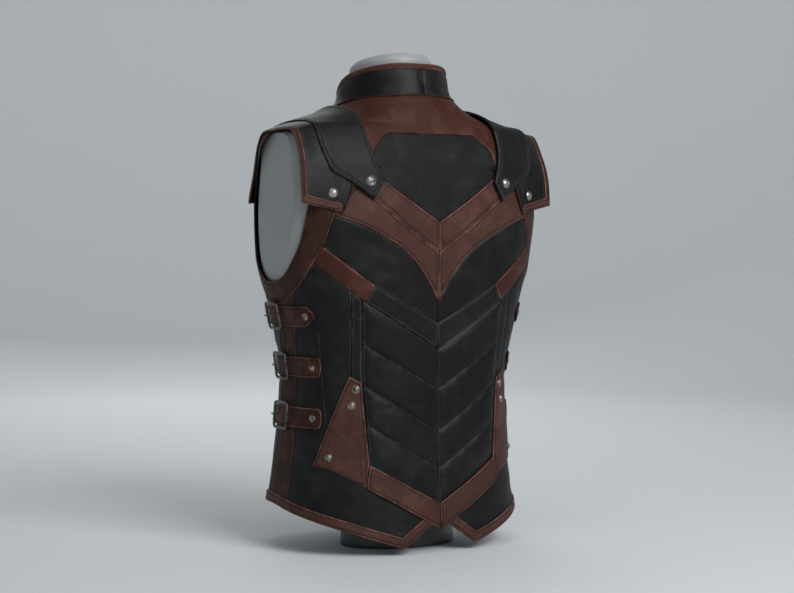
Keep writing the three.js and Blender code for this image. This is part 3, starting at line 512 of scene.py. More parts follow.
def outside_by(x, y, z):
    """Above 0 outside the skin and below 0 inside it."""
    half, back, front, side, back_square, front_square = np.moveaxis(SKIN.section(z), -1, 0)
    behind = y >= side
    square = np.where(behind, back_square, front_square)
    depth = np.where(behind, back - side, side - front)
    return (np.abs(x) / half) ** square + (np.abs(y - side) / depth) ** square - 1


def on_shoulder(sign):
    """Puts points [out, arc about the shoulder axis] on the arch over the shoulder."""
    def place(flat, lift):
        out, turn = flat[:, 0], flat[:, 1] / ARC_PER_DEGREE
        turns, parts = np.array(FOLLOW).T
        row = np.clip(np.searchsorted(turns, turn), 1, len(turns) - 1)
        t = smoothed(turn, turns[row - 1], turns[row])
        part = parts[row - 1] * (1 - t) + parts[row] * t
        carried = out - np.maximum(0, out - SHOULDER_POINT) * (1 - part)
        along_y, along_z = np.cos(np.radians(turn)), np.sin(np.radians(turn))
        near, far = np.zeros_like(out), np.full_like(out, 260.0)
        for _ in range(36):
            middle = (near + far) / 2
            y, z = SHOULDER_AXIS["y"] + middle * along_y, SHOULDER_AXIS["z"] + middle * along_z
            outside = outside_by(carried, y, z) > 0
            near, far = np.where(outside, near, middle), np.where(outside, middle, far)
        y, z = SHOULDER_AXIS["y"] + far * along_y, SHOULDER_AXIS["z"] + far * along_z
        h = 0.4
        normal = np.stack([
            outside_by(carried + h, y, z) - outside_by(carried - h, y, z),
            outside_by(carried, y + h, z) - outside_by(carried, y - h, z),
            outside_by(carried, y, z + h) - outside_by(carried, y, z - h),
        ], axis=-1)
        normal /= np.linalg.norm(normal, axis=1, keepdims=True)
        points = np.stack([out, y, z], axis=-1) + normal * np.asarray(lift, float)[:, None]
        points[:, 0] *= sign
        return points
    return place


# ---------------------------------------------------------------- lines on a flat pattern

def resampled(points, step=STEP):
    """The same corners with even steps between them."""
    points = np.asarray(points, float)
    out = [points[0]]
    for start, end in zip(points[:-1], points[1:]):
        parts = max(1, math.ceil(np.linalg.norm(end - start) / step))
        out.extend(start + (end - start) * k / parts for k in range(1, parts + 1))
    return np.array(out)


def curved(points, step=STEP):
    """A smooth curve through the points, with even steps."""
    points = np.asarray(points, float)
    ends = [2 * points[0] - points[1], *points, 2 * points[-1] - points[-2]]
    out = [points[0]]
    for a, b, c, d in zip(ends[:-3], ends[1:-2], ends[2:-1], ends[3:]):
        parts = max(1, math.ceil(np.linalg.norm(c - b) / step))
        length = np.linalg.norm(c - b)
        start = (c - a) * length / max(np.linalg.norm(b - a) + length, 1e-6)
        end = (d - b) * length / max(np.linalg.norm(d - c) + length, 1e-6)
        out.extend(cubic(k / parts, b, start, c, end) for k in range(1, parts + 1))
    return np.array(out)


def overrun(line):
    """The line carried on a little past both ends."""
    first = line[0] - (line[1] - line[0]) / np.linalg.norm(line[1] - line[0]) * PAST_SEAM
    last = line[-1] + (line[-1] - line[-2]) / np.linalg.norm(line[-1] - line[-2]) * PAST_SEAM
    return np.vstack([first, line[1:-1], last])


def distance_to(points, starts, ends):
    """The distance from each point to the nearest of many segments."""
    nearest = np.full(len(points), 1e9)
    for begin in range(0, len(points), 4000):
        block = points[begin:begin + 4000, None, :]
        along = (ends - starts)[None]
        length = np.maximum((along ** 2).sum(axis=2), 1e-12)
        t = np.clip(((block - starts[None]) * along).sum(axis=2) / length, 0, 1)
        gap = block - (starts[None] + along * t[..., None])
        nearest[begin:begin + 4000] = np.sqrt((gap ** 2).sum(axis=2)).min(axis=1)
    return nearest


def beside(line, distance):
    """Points at a distance on both sides of a line."""
    along = np.gradient(line, axis=0)
    along /= np.maximum(np.linalg.norm(along, axis=1, keepdims=True), 1e-9)
    across = np.stack([-along[:, 1], along[:, 0]], axis=1)
    return np.vstack([line + across * distance, line - across * distance])


def inside_polygon(points, polygon):
    x, y = points[:, 0], points[:, 1]
    inside = np.zeros(len(points), bool)
    for (ax, ay), (bx, by) in zip(polygon, np.roll(polygon, -1, axis=0)):
        if ay == by:
            continue
        crosses = (ay > y) != (by > y)
        at = ax + (y - ay) / (by - ay) * (bx - ax)
        inside ^= crosses & (x < at)
    return inside


ROLL_RING = 1.5
STITCH_RING = 4.0


def triangulated(walls, cell, rings=(ROLL_RING, STITCH_RING), soft=()):
    """Triangles of a flat pattern that follow its lines; only the walls part it into pieces."""
    everything = np.vstack(walls)
    low, high = everything.min(axis=0), everything.max(axis=0)
    lines = [*walls, *soft]
    starts = np.vstack([line[:-1] for line in lines])
    ends = np.vstack([line[1:] for line in lines])
    extra = []
    for distance in rings:
        near = np.vstack([beside(line, distance) for line in lines])
        extra.append(near[distance_to(near, starts, ends) > distance - 0.25])
    across = np.arange(low[0] + cell / 2, high[0], cell)
    up = np.arange(low[1] + cell / 2, high[1], cell * 0.87)
    grid = np.array([
        (x + (cell / 2 if row % 2 else 0), y) for row, y in enumerate(up) for x in across
    ])
    grid = grid[distance_to(grid, starts, ends) > rings[-1] + 0.45 * cell]
    points, edges, parting = [], [], 0
    for number, line in enumerate(lines):
        first = len(points)
        points.extend(line)
        edges.extend((first + i, first + i + 1) for i in range(len(line) - 1))
        if number < len(walls):
            parting = len(edges)
    for more in (*extra, grid):
        points.extend(more)
    vectors = [Vector((float(x), float(y))) for x, y in points]
    found = delaunay_2d_cdt(vectors, edges, [], 0, 1e-4, True)
    flat = np.array([tuple(point) for point in found[0]])
    parted = {
        tuple(sorted(edge)) for edge, sources in zip(found[1], found[4])
        if any(source < parting for source in sources)
    }
    return flat, [tuple(face) for face in found[2]], parted


def sides_of(face):
    """The three directed edges of a triangle."""
    return [(face[k - 1], face[k]) for k in range(3)]


def turn_past(at, p, q):
    """Above 0 where a point lies to the left of the way from p to q."""
    return (q[:, 0] - p[:, 0]) * (at[1] - p[:, 1]) - (q[:, 1] - p[:, 1]) * (at[0] - p[:, 0])


def regions(flat, triangles, walls, labels):
    """The triangles of the region round each labelled point."""
    by_edge = {}
    for index, face in enumerate(triangles):
        for edge in sides_of(face):
            by_edge.setdefault(tuple(sorted(edge)), []).append(index)
    a, b, c = np.moveaxis(flat[np.array(triangles)], 1, 0)
    out = {}
    for name, label in labels.items():
        turns = np.stack([turn_past(label, p, q) for p, q in ((a, b), (b, c), (c, a))])
        hit = np.nonzero((turns >= 0).all(axis=0) | (turns <= 0).all(axis=0))[0]
        if not len(hit):
            raise RuntimeError(f"no triangle at the label of {name}")
        reached, queue = {int(hit[0])}, [int(hit[0])]
        while queue:
            edges = {tuple(sorted(edge)) for edge in sides_of(triangles[queue.pop()])}
            for edge in edges - walls:
                for other in by_edge[edge]:
                    if other not in reached:
                        reached.add(other)
                        queue.append(other)
        out[name] = [triangles[i] for i in sorted(reached)]
    return out


# ---------------------------------------------------------------- leather shells

class Cut:
    """A piece of cut leather: its flat pattern, its triangles and its distance from the edge."""

    def __init__(self, flat, triangles):
        used = sorted({i for face in triangles for i in face})
        index = {old: new for new, old in enumerate(used)}
        self.flat = flat[used].copy()
        self.triangles = [tuple(index[i] for i in face) for face in triangles]
        edges = [edge for face in self.triangles for edge in sides_of(face)]
        count = Counter(tuple(sorted(edge)) for edge in edges)
        self.rim = [edge for edge in edges if count[tuple(sorted(edge))] == 1]
        rim = np.array(self.rim)
        self.edge = distance_to(self.flat, self.flat[rim[:, 0]], self.flat[rim[:, 1]])
        self.edge[rim.ravel()] = 0

    @property
    def area(self):
        a, b, c = np.moveaxis(self.flat[np.array(self.triangles)], 1, 0)
        u, v = b - a, c - a
        return 0.5 * np.abs(u[:, 0] * v[:, 1] - u[:, 1] * v[:, 0]).sum()

    def oblong(self):
        """The sides of the smallest rectangle that the pattern fits in."""
        best = None
        for angle in np.radians(np.arange(0, 90, 3)):
            c, s = math.cos(angle), math.sin(angle)
            turned = self.flat @ np.array([[c, -s], [s, c]])
            size = turned.max(axis=0) - turned.min(axis=0)
            if best is None or size.prod() < best.prod():
                best = size
        return best


def cut_outline(outline, cell=5.0, rings=(ROLL_RING, STITCH_RING)):
    """A piece of leather inside a closed outline."""
    closed = np.vstack([outline, outline[:1]])
    flat, triangles, _ = triangulated([closed], cell, rings)
    middles = flat[np.array(triangles)].mean(axis=1)
    keep = inside_polygon(middles, outline)
    return Cut(flat, [face for face, kept in zip(triangles, keep) if kept])


def soft_noise(points, scale, seed):
    """Slow waviness between about -1 and 1."""
    offset = Vector((seed * 7.3, seed * 3.1, seed * 5.7))
    return np.array([noise.noise(Vector(point) * scale + offset) for point in points])


def smoothed(x, low, high):
    """Rises softly from 0 at low to 1 at high."""
    t = np.clip((x - low) / (high - low), 0, 1)
    return t * t * (3 - 2 * t)


def crease_depth(flat, creases):
    """How deep the folds lie at each point of the flat pattern."""
    depth = np.zeros(len(flat))
    for start, end, deep, wide in creases:
        a, b = flat_point(start), flat_point(end)
        along = b - a
        t = ((flat - a) @ along) / (along @ along)
        inside = np.clip(t, 0, 1)
        bow = 0.06 * np.linalg.norm(along) * np.sin(math.pi * inside)
        across = np.array([-along[1], along[0]]) / np.linalg.norm(along)
        gap = np.linalg.norm(flat - (a + inside[:, None] * along + bow[:, None] * across), axis=1)
        fade = np.sin(math.pi * np.clip(inside * 0.86 + 0.07, 0, 1)) ** 0.7
        depth += deep * fade * (np.exp(-(gap / wide) ** 2) - 0.45 * np.exp(-((gap - 1.9 * wide) / wide) ** 2))
    return depth


def new_object(name, points, faces, materials, attributes=None):
    """A smooth mesh in metres from points in millimetres, which rides on the root."""
    name = PREFIX + name
    mesh = bpy.data.meshes.new(name)
    mesh.from_pydata([tuple(point * MM) for point in np.asarray(points, float)], [], faces)
    mesh.update()
    mesh.polygons.foreach_set("use_smooth", [True] * len(mesh.polygons))
    for key, values in (attributes or {}).items():
        layer = mesh.attributes.new(key, "FLOAT", "POINT")
        layer.data.foreach_set("value", np.asarray(values, np.float32))
    for material in materials:
        mesh.materials.append(material)
    piece = bpy.data.objects.new(name, mesh)
    bpy.context.scene.collection.objects.link(piece)
    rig.ride(piece, "root")
    return piece


# Each line that is to be stitched: its thread, how it is placed, its flat points and their lifts.
THREADS = []


def shell(name, cut, place, lift, material, seed, roll=0.8, relief=0.0, wall=LEATHER, wander=0.25,
          marks=None):
    """A wall of leather on the skin with a rounded edge; `lift` is where its outer face lies."""
    edge = cut.edge
    # marks is the distance that the finish takes as the edge, for its painted seam shade and its worn edge with
    # painted highlight.
    marks = edge if marks is None else marks
    settled = smoothed(edge, -0.2, ROLL_RING * 1.6)
    top = lift - roll * (1 - settled)
    base = place(cut.flat, np.zeros(len(edge)))
    top = top + wander * soft_noise(base, 0.03, seed) * smoothed(edge, 0, 12) + relief
    bottom = np.minimum(top - 0.5 * wall, lift - wall)
    outer, inner = place(cut.flat, top), place(cut.flat, bottom)
    count = len(outer)
    a, b, c = cut.triangles[len(cut.triangles) // 2]
    facing = np.cross(outer[b] - outer[a], outer[c] - outer[a]) @ (outer[a] - inner[a])
    if facing > 0:
        faces = [*cut.triangles, *((count + c, count + b, count + a) for a, b, c in cut.triangles)]
        faces += [(b, a, count + a, count + b) for a, b in cut.rim]
    else:
        faces = [(c, b, a) for a, b, c in cut.triangles]
        faces += [(count + a, count + b, count + c) for a, b, c in cut.triangles]
        faces += [(a, b, count + b, count + a) for a, b in cut.rim]
    edges = np.concatenate([marks, np.zeros(count)])
    piece = new_object(name, np.vstack([outer, inner]), faces, [material], attributes={"edge_mm": edges})
    cut.place, cut.top = place, top
    return piece


def contour(cut, distance):
    """Lines at a distance from the piece's edge, as chains of points [flat, top]."""
    links, at = {}, {}
    for face in cut.triangles:
        ends = []
        for i, j in map(sorted, sides_of(face)):
            a, b = cut.edge[i], cut.edge[j]
            if (a < distance) != (b < distance):
                t = (distance - a) / (b - a)
                at[(i, j)] = [values[i] * (1 - t) + values[j] * t for values in (cut.flat, cut.top)]
                ends.append((i, j))
        if len(ends) == 2:
            links.setdefault(ends[0], []).append(ends[1])
            links.setdefault(ends[1], []).append(ends[0])
    chains, left = [], set(links)
    while left:
        start = min(left)
        chain = [start]
        left.discard(start)
        while True:
            following = [key for key in links[chain[-1]] if key in left]
            if not following:
                break
            chain.append(following[0])
            left.discard(following[0])
        if len(chain) > 4:
            if start in links[chain[-1]]:
                chain.append(start)
            chains.append(chain)
    return [[np.array([at[key][k] for key in chain]) for k in (0, 1)] for chain in chains]


def sew(cut, distance, colour):
    """Topstitching all round a piece at a distance from its edge."""
    for flat, top in contour(cut, distance):
        THREADS.append((colour, cut.place, flat, top))


def sew_line(place, flat, lift, colour):
    """A stitched line at an even height over the skin."""
    THREADS.append((colour, place, flat, np.full(len(flat), float(lift))))


def make_piece(name, cut, place, lift, finish, rests_on=("form_torso",), strip=None, stitching=None, **build):
    """A finished leather piece, with what it stands for and the size that it was cut to."""
    piece = shell(name, cut, place, lift, material(finish), **build)
    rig.replaces(piece, name)
    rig.slot(piece, "brown_leather" if finish.endswith("_brown") else "black_leather")
    area = cut.area
    if strip is not None:
        flat, extra = (max(strip, MIN_STRIP) * MM, area / strip * MM), {}
    else:
        width, length = sorted(cut.oblong())
        area = min(max(area, LEAST_SHARE * width * length), width * length)
        flat, extra = (width * MM, length * MM), {"area": area * MM * MM}
    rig.sheet(piece, flat=flat, held="hung", rests_on=list(rests_on), **extra)
    if stitching is not None:
        sew(cut, *stitching)


# ---------------------------------------------------------------- shader building

def sum_of(operation, turned=False):
    def method(value, other):
        return value.tree.reckon(operation, *((other, value) if turned else (value, other)))
    return method


class Value:
    """A shader's number; reckoning with it adds Math nodes."""

    def __init__(self, tree, socket):
        self.tree, self.socket = tree, socket

    def reckon(self, operation, *others):
        return self.tree.reckon(operation, self, *others)

    __add__, __radd__ = sum_of("ADD"), sum_of("ADD", True)
    __sub__, __rsub__ = sum_of("SUBTRACT"), sum_of("SUBTRACT", True)
    __mul__, __rmul__ = sum_of("MULTIPLY"), sum_of("MULTIPLY", True)
    __truediv__, __pow__ = sum_of("DIVIDE"), sum_of("POWER")


class Finish:
    """A material's node tree."""

    def __init__(self, name):
        self.material = bpy.data.materials.new(name)
        self.material.use_nodes = True
        self.nodes, self.links = self.material.node_tree.nodes, self.material.node_tree.links
        self.shader = self.nodes["Principled BSDF"]

    def add(self, kind, settings=None, **sockets):
        """A node of a kind, its settings made first and then its sockets' values or links."""
        node = self.nodes.new(kind)
        for key, value in (settings or {}).items():
            setattr(node, key, value)
        for key, value in sockets.items():
            self.feed(node.inputs[int(key[1:]) if key[0] == "_" else key.replace("_", " ")], value)
        return node

    def feed(self, socket, value):
        if isinstance(value, Value):
            self.links.new(value.socket, socket)
        elif isinstance(value, bpy.types.NodeSocket):
            self.links.new(value, socket)
        elif socket.type == "RGBA":
            socket.default_value = (*value, 1)
        else:
            socket.default_value = value

    def reckon(self, operation, *values):
        sockets = {f"_{i}": value for i, value in enumerate(values)}
        return Value(self, self.add("ShaderNodeMath", {"operation": operation}, **sockets).outputs[0])

    def ramp(self, value, low, high):
        """A number that rises softly from 0 at low to 1 at high."""
        settings = {"interpolation_type": "SMOOTHSTEP"}
        node = self.add("ShaderNodeMapRange", settings, Value=value, From_Min=low, From_Max=high)
        return Value(self, node.outputs[0])

    def place(self, stretch=(1, 1, 1)):
        where = self.add("ShaderNodeTexCoord").outputs["Object"]
        if stretch == (1, 1, 1):
            return where
        return self.add("ShaderNodeMapping", None, Vector=where, Scale=stretch).outputs[0]

    def noise(self, where, scale, detail=3.0, roughness=0.55):
        sockets = {"Vector": where, "Scale": scale, "Detail": detail, "Roughness": roughness}
        return Value(self, self.add("ShaderNodeTexNoise", None, **sockets).outputs["Fac"])

    def cells(self, where, scale):
        node = self.add("ShaderNodeTexVoronoi", {"feature": "SMOOTH_F1"}, Vector=where, Scale=scale)
        return Value(self, node.outputs["Distance"])

    def attribute(self, name):
        return Value(self, self.add("ShaderNodeAttribute", {"attribute_name": name}).outputs["Fac"])

    def mix(self, factor, a, b):
        node = self.add("ShaderNodeMix", {"data_type": "RGBA"})
        self.feed(node.inputs["Factor"], factor)
        colours = [socket for socket in node.inputs if socket.type == "RGBA"]
        self.feed(colours[0], a)
        self.feed(colours[1], b)
        return next(socket for socket in node.outputs if socket.type == "RGBA")

    def set(self, **sockets):
        for key, value in sockets.items():
            self.feed(self.shader.inputs[key.replace("_", " ")], value)

    def bumped(self, height):
        """The material with a height in millimetres as its bump."""
        node = self.add("ShaderNodeBump", None, Height=height, Strength=1.0, Distance=MM)
        self.set(Normal=node.outputs[0])
        return self.material


def shade(colour, factor):
    return tuple(min(1.0, part * factor) for part in colour)


def make_leather(name, colour, worn, gloss, edge_wear_and_highlight, rub, groove, seed):
    """Grained leather, darkened in its seams and grooves as painted shade and rubbed pale along its edges, partly as a
    painted highlight.
    """
    finish = Finish(name)
    shift = (seed, seed * 0.7, seed * 0.4)
    where = finish.add("ShaderNodeMapping", None, Vector=finish.place(), Location=shift).outputs[0]
    edge = finish.attribute("edge_mm")
    broad = finish.noise(where, 11.0, 3.0)
    blotch = finish.noise(where, 46.0, 5.0, 0.62)
    fine = finish.noise(where, 240.0, 4.0, 0.6)
    pebble = finish.cells(where, 520.0)
    pores = finish.cells(where, 1150.0)
    streak = finish.noise(finish.place((60, 60, 22)), 1.6, 5.0, 0.65)
    # Patches of the face are rubbed, and the rolled edge is worn palest of all, partly as a painted highlight along
    # it.
    rubbed = finish.ramp(blotch * 0.55 + broad * 0.45 + fine * 0.16, 0.53, 0.76) * rub
    at_edge = (1 - finish.ramp(edge, 0.9, 2.4)) * finish.ramp(edge, 0.15, 0.8)
    worn_edge_and_highlight = at_edge * finish.ramp(blotch + fine * 0.5, 0.6, 0.95) * edge_wear_and_highlight
    # The seam itself is darkened as painted shade.
    painted_seam_shade = 1 - finish.ramp(edge, -0.1, 0.7)
    tone = finish.mix(broad, shade(colour, 0.78), shade(colour, 1.18))
    tone = finish.mix(finish.ramp(streak, 0.35, 0.7) * 0.35, tone, shade(colour, 0.62))
    tone = finish.mix(rubbed, tone, worn)
    # A pale band along the edge: partly wear and partly painted highlight.
    tone = finish.mix(worn_edge_and_highlight, tone, shade(worn, 1.25))
    dark = painted_seam_shade * 0.85
    height = pebble * 0.15 + pores * 0.04 + blotch * 0.42 + fine * 0.10
    # A line is pressed into the leather beside its edge, under the topstitching, and darkened in it as painted shade.
    if groove > 0:
        sunk = ((edge - groove) / 0.75) ** 2
        sunk = (sunk * -1).reckon("EXPONENT")
        # Painted shade in the pressed groove.
        dark = dark.reckon("MAXIMUM", sunk * 0.7)
        height = height - sunk * 0.38
    # Painted shade: the seams and their grooves are darkened towards a fifth of the leather's colour.
    tone = finish.mix(dark, tone, shade(colour, 0.22))
    rough = gloss + fine * 0.14 - rubbed * 0.10 + dark * 0.2 + (broad - 0.5) * 0.12
    finish.set(Base_Color=tone, Roughness=rough, Specular_IOR_Level=0.2)
    return finish.bumped(height)


def make_metal(name, colour, rough, tarnish, seed, cast):
    """Cast metal, darker in its hollows and marked by wear."""
    finish = Finish(name)
    where = finish.place()
    patches = finish.noise(where, 160.0 + seed, 4.0)
    marks = finish.noise(finish.place((1, 1, 3)), 900.0, 2.0)
    tone = finish.mix(finish.ramp(patches, 0.42, 0.68), shade(colour, 1.1), tarnish)
    finish.set(Base_Color=tone, Metallic=1.0, Roughness=patches * 0.28 + marks * 0.1 + rough)
    return finish.bumped(marks * 0.03 * cast + patches * 0.1 * cast)


def make_thread(name, colour):
    finish = Finish(name)
    twist = finish.noise(finish.place(), 900.0, 2.0)
    tone = finish.mix(twist, shade(colour, 0.6), shade(colour, 1.3))
    finish.set(Base_Color=tone, Roughness=0.72)
    return finish.bumped(twist * 0.1)


def make_form_cover(name, colour):
    """The satin paint of the dress form."""
    finish = Finish(name)
    where = finish.place()
    broad = finish.noise(where, 9.0, 3.0)
    fine = finish.noise(where, 650.0, 3.0)
    scuffs = finish.ramp(finish.noise(finish.place((1, 1, 4)), 30.0, 5.0, 0.7), 0.58, 0.75)
    tone = finish.mix(broad, shade(colour, 0.9), shade(colour, 1.1))
    tone = finish.mix(scuffs * 0.25, tone, shade(colour, 1.35))
    finish.set(Base_Color=tone, Roughness=0.34 + fine * 0.12 + scuffs * 0.1)
    return finish.bumped(fine * 0.04 + broad * 0.2)


def make_floor(name, colour):
    finish = Finish(name)
    cloud = finish.noise(finish.place(), 1.3, 3.0)
    tone = finish.mix(cloud, shade(colour, 0.985), shade(colour, 1.0))
    finish.set(Base_Color=tone, Roughness=0.85)
    return finish.material


# Leathers: their colour and how much of it, the colour they rub to and how much of it, how
# rough they are, how far their edges are rubbed and lit by a painted highlight, how far their faces
# are rubbed, where a groove that is darkened as painted shade runs from the edge, and the seed of their marks.
LEATHERS = {
    "black_panel": ("black", 1, "worn_black", 1, 0.44, 0.9, 0.22, 3.4, 0.3),
    "black_plain": ("black", 1, "worn_black", 1, 0.44, 0.95, 0.22, 0, 0.9),
    "black_quilt": ("black", 1, "worn_black", 1, 0.42, 0.55, 0.22, 0, 0.6),
    "charcoal_matte": ("black", 1.5, "worn_black", 1, 0.58, 0.4, 0.3, 0, 1.3),
    "black_gloss": ("black", 1, "worn_black", 1, 0.40, 0.6, 0.18, 0, 1.7),
    "black_strap": ("black", 1, "worn_black", 1.05, 0.44, 1.0, 0.15, 5.2, 2.1),
    "yoke_brown": ("red_brown", 1, "tan", 1, 0.45, 0.5, 0.28, 0, 2.6),
    "chevron_brown": ("mauve_brown", 1, "tan", 1, 0.50, 0.85, 0.38, 3.6, 3.1),
    "band_brown": ("red_brown", 1, "tan", 1, 0.44, 0.95, 0.45, 0, 3.6),
    "facing_brown": ("brown", 1, "tan", 1, 0.48, 0.8, 0.4, 4.0, 4.2),
    "gusset_brown": ("mauve_brown", 0.88, "tan", 1, 0.5, 1.0, 0.36, 3.2, 4.8),
    "strap_brown": ("red_brown", 0.85, "tan", 1, 0.45, 1.0, 0.4, 3.4, 5.3),
    "binding_brown": ("mauve_brown", 1, "tan", 1, 0.46, 1.0, 0.3, 3.0, 5.9),
    "stripe_brown": ("brown", 0.75, "tan", 1, 0.55, 0.6, 0.3, 0, 6.4),
    "piping_brown": ("mauve_brown", 1.1, "tan", 1, 0.42, 0.2, 0.5, 0, 6.9),
}
# Metals: their colour, how rough they are, the colour of their tarnish, a seed and how cast they look.
METALS = {
    "pewter": ((0.17, 0.155, 0.14), 0.30, (0.06, 0.055, 0.05), 0, 0.5),
    "silver": ((0.43, 0.42, 0.395), 0.19, (0.13, 0.125, 0.115), 7.0, 1),
    "antique_silver": ((0.30, 0.28, 0.25), 0.22, (0.09, 0.08, 0.07), 13.0, 1),
    "dark_metal": ((0.06, 0.058, 0.055), 0.35, (0.02, 0.02, 0.02), 19.0, 1),
}
# The black thread on black leather is made grey, so that its stitches show as light dots: painted highlight.
THREAD_COLOURS = {"thread_dark": (0.012, 0.010, 0.009), "thread_black": (0.085, 0.085, 0.088)}
MATERIALS = {}


def material(name):
    """One of the vest's finishes, made when it is first used."""
    if name not in MATERIALS:
        tones = bpy.context.scene.vest_colours
        if name in LEATHERS:
            dye, dyed, rubbed, pale, *finish = LEATHERS[name]
            colours = shade(getattr(tones, dye), dyed), shade(getattr(tones, rubbed), pale)
            MATERIALS[name] = make_leather(name, *colours, *finish)
        elif name in METALS:
            MATERIALS[name] = make_metal(name, *METALS[name])
        elif name in THREAD_COLOURS:
            MATERIALS[name] = make_thread(name, THREAD_COLOURS[name])
        elif name == "thread_brown":
            MATERIALS[name] = make_thread(name, shade(tones.tan, 1.15))
        elif name == "pale_floor":
            MATERIALS[name] = make_floor(name, tones.floor)
        else:
            MATERIALS[name] = make_form_cover(name, tones.form if name == "form_satin" else tones.foot)
    return MATERIALS[name]


# ---------------------------------------------------------------- turned and swept solids

def ring_faces(rows, count, closed=False):
    """The quads that join each ring of points to the next one."""
    faces = []
    for row in range(rows if closed else rows - 1):
        low, high = row * count, (row + 1) % rows * count
        for i in range(count):
            j = (i + 1) % count
            faces.append((low + i, low + j, high + j, high + i))
    return faces


def solid_faces(rows, count):
    """The faces of a solid whose rings rise from its flat bottom to its flat top."""
    sides = [(a, d, c, b) for a, b, c, d in ring_faces(rows, count)]
    return [*sides, tuple(range(count)), tuple(reversed(range((rows - 1) * count, rows * count)))]


def dome(at, normal, profile, finish):
    """A turned metal head that stands at a point; its profile ends at the tip."""
    count = 32
    normal = normal / np.linalg.norm(normal)
    side = np.cross(normal, (0.0, 0.0, 1.0))
    side /= np.linalg.norm(side)
    up = np.cross(side, normal)
    turns = np.arange(count) * math.tau / count
    points = []
    for radius, height in profile[:-1]:
        circle = at + radius * (np.cos(turns)[:, None] * side + np.sin(turns)[:, None] * up)
        points.extend(circle + normal * height)
    points.append(at + normal * profile[-1][1])
    faces = ring_faces(len(profile) - 1, count)
    tip, last = len(points) - 1, len(points) - 1 - count
    faces.extend((last + i, last + (i + 1) % count, tip) for i in range(count))
    faces.append(tuple(reversed(range(count))))
    return points, faces, material(finish)


def stand_dome(place, flat_at, lift, profile, finish):
    """A turned head that stands square to the leather."""
    at = np.array([flat_at])
    foot, above = place(at, np.array([lift]))[0], place(at, np.array([lift + 1.0]))[0]
    return dome(foot, above - foot, profile, finish)


def tube(path, normals, half_width, half_height, finish, closed=True, count=10):
    """A bar of rounded section swept along a path that lies on the skin."""
    square = 2.6
    if closed:
        after, before = np.roll(path, -1, axis=0), np.roll(path, 1, axis=0)
    else:
        after = np.vstack([path[1:], path[-1:] * 2 - path[-2:-1]])
        before = np.vstack([path[:1] * 2 - path[1:2], path[:-1]])
    along = after - before
    along /= np.linalg.norm(along, axis=1, keepdims=True)
    across = np.cross(along, normals)
    across /= np.linalg.norm(across, axis=1, keepdims=True)
    points = []
    for p, n, s in zip(path, normals, across):
        for k in range(count):
            angle = k * math.tau / count
            c, d = math.cos(angle), math.sin(angle)
            reach = (abs(c) ** square + abs(d) ** square) ** (-1 / square)
            points.append(p + s * c * reach * half_width + n * d * reach * half_height)
    rows = len(path)
    faces = ring_faces(rows, count, closed)
    if not closed:
        faces.append(tuple(reversed(range(count))))
        faces.append(tuple(range((rows - 1) * count, rows * count)))
    return points, faces, material(finish)


def joined(name, parts):
    """Several small solids as one object, each with its own finish."""
    points, faces, finishes, marks = [], [], [], []
    for part_points, part_faces, finish in parts:
        first = len(points)
        points.extend(part_points)
        faces.extend(tuple(i + first for i in face) for face in part_faces)
        if finish not in finishes:
            finishes.append(finish)
        marks.extend([finishes.index(finish)] * len(part_faces))
    piece = new_object(name, points, faces, finishes)
    piece.data.polygons.foreach_set("material_index", marks)
    return piece


# ---------------------------------------------------------------- the dress form

def form_ring(turns, z, inset=0.0):
    """One level ring of the form, under the leather below and round as a neck above."""
    clear = np.interp(z, *np.transpose(FORM_CLEARANCE)) + LEATHER + inset
    torso = SKIN.point(turns, np.full(len(turns), min(z, 640.0)), np.full(len(turns), -clear))
    neck = np.stack([
        (NECK["half_width"] - inset) * np.sin(turns),
        NECK["y"] + (NECK["half_depth"] - inset) * np.cos(turns),
        np.full(len(turns), z),
    ], axis=1)
    share = np.interp(z, *np.transpose(NECK_BLEND))
    return torso * (1 - share) + neck * share


def make_form():
    """The torso, closed over the neck and flat where the arms would join it."""
    count = 240
    turns = np.arange(count) * math.tau / count
    rings = []
    for inset, rise in FORM_LIP:
        ring = form_ring(turns, FORM_BOTTOM, inset)
        ring[:, 2] = FORM_BOTTOM + rise
        rings.append(ring)
    rings += [form_ring(turns, z) for z in [*np.arange(70, 540, 5.0), *np.arange(540, 610, 2.5)]]
    top = NECK["top"] + NECK["slope"] * (rings[-1][:, 1] - NECK["y"])
    for turn in np.radians([0, 12, 25, 38, 52, 66, 80, 90]):
        inset = NECK["rounding"] * (1 - math.cos(turn))
        ring = form_ring(turns, 640.0, inset)
        ring[:, 2] = top - NECK["rounding"] * (1 - math.sin(turn))
        rings.append(ring)
    faces = solid_faces(len(rings), count)
    form = new_object("dress_form", np.vstack(rings), faces, [material("form_satin")])
    body = bmesh.new()
    body.from_mesh(form.data)
    for sign in (1, -1):
        plane = {"plane_co": (sign * ARM_PLATE_X * MM, 0, 0), "plane_no": (sign, 0, 0)}
        everything = [*body.verts, *body.edges, *body.faces]
        cut = bmesh.ops.bisect_plane(body, geom=everything, clear_outer=True, **plane)
        rim = [item for item in cut["geom_cut"] if isinstance(item, bmesh.types.BMEdge)]
        bmesh.ops.holes_fill(body, edges=rim, sides=0)
    bmesh.ops.recalc_face_normals(body, faces=body.faces)
    body.to_mesh(form.data)
    body.free()
    form.data.polygons.foreach_set("use_smooth", [True] * len(form.data.polygons))
    bevel = form.modifiers.new("plate_edge", "BEVEL")
    bevel.limit_method, bevel.angle_limit = "ANGLE", math.radians(24)
    bevel.width, bevel.segments = 1.2 * MM, 3
    smooth = form.modifiers.new("soft_light", "WEIGHTED_NORMAL")
    smooth.keep_sharp = True
    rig.replaces(form, "form_torso")
    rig.slot(form, "form_grey")


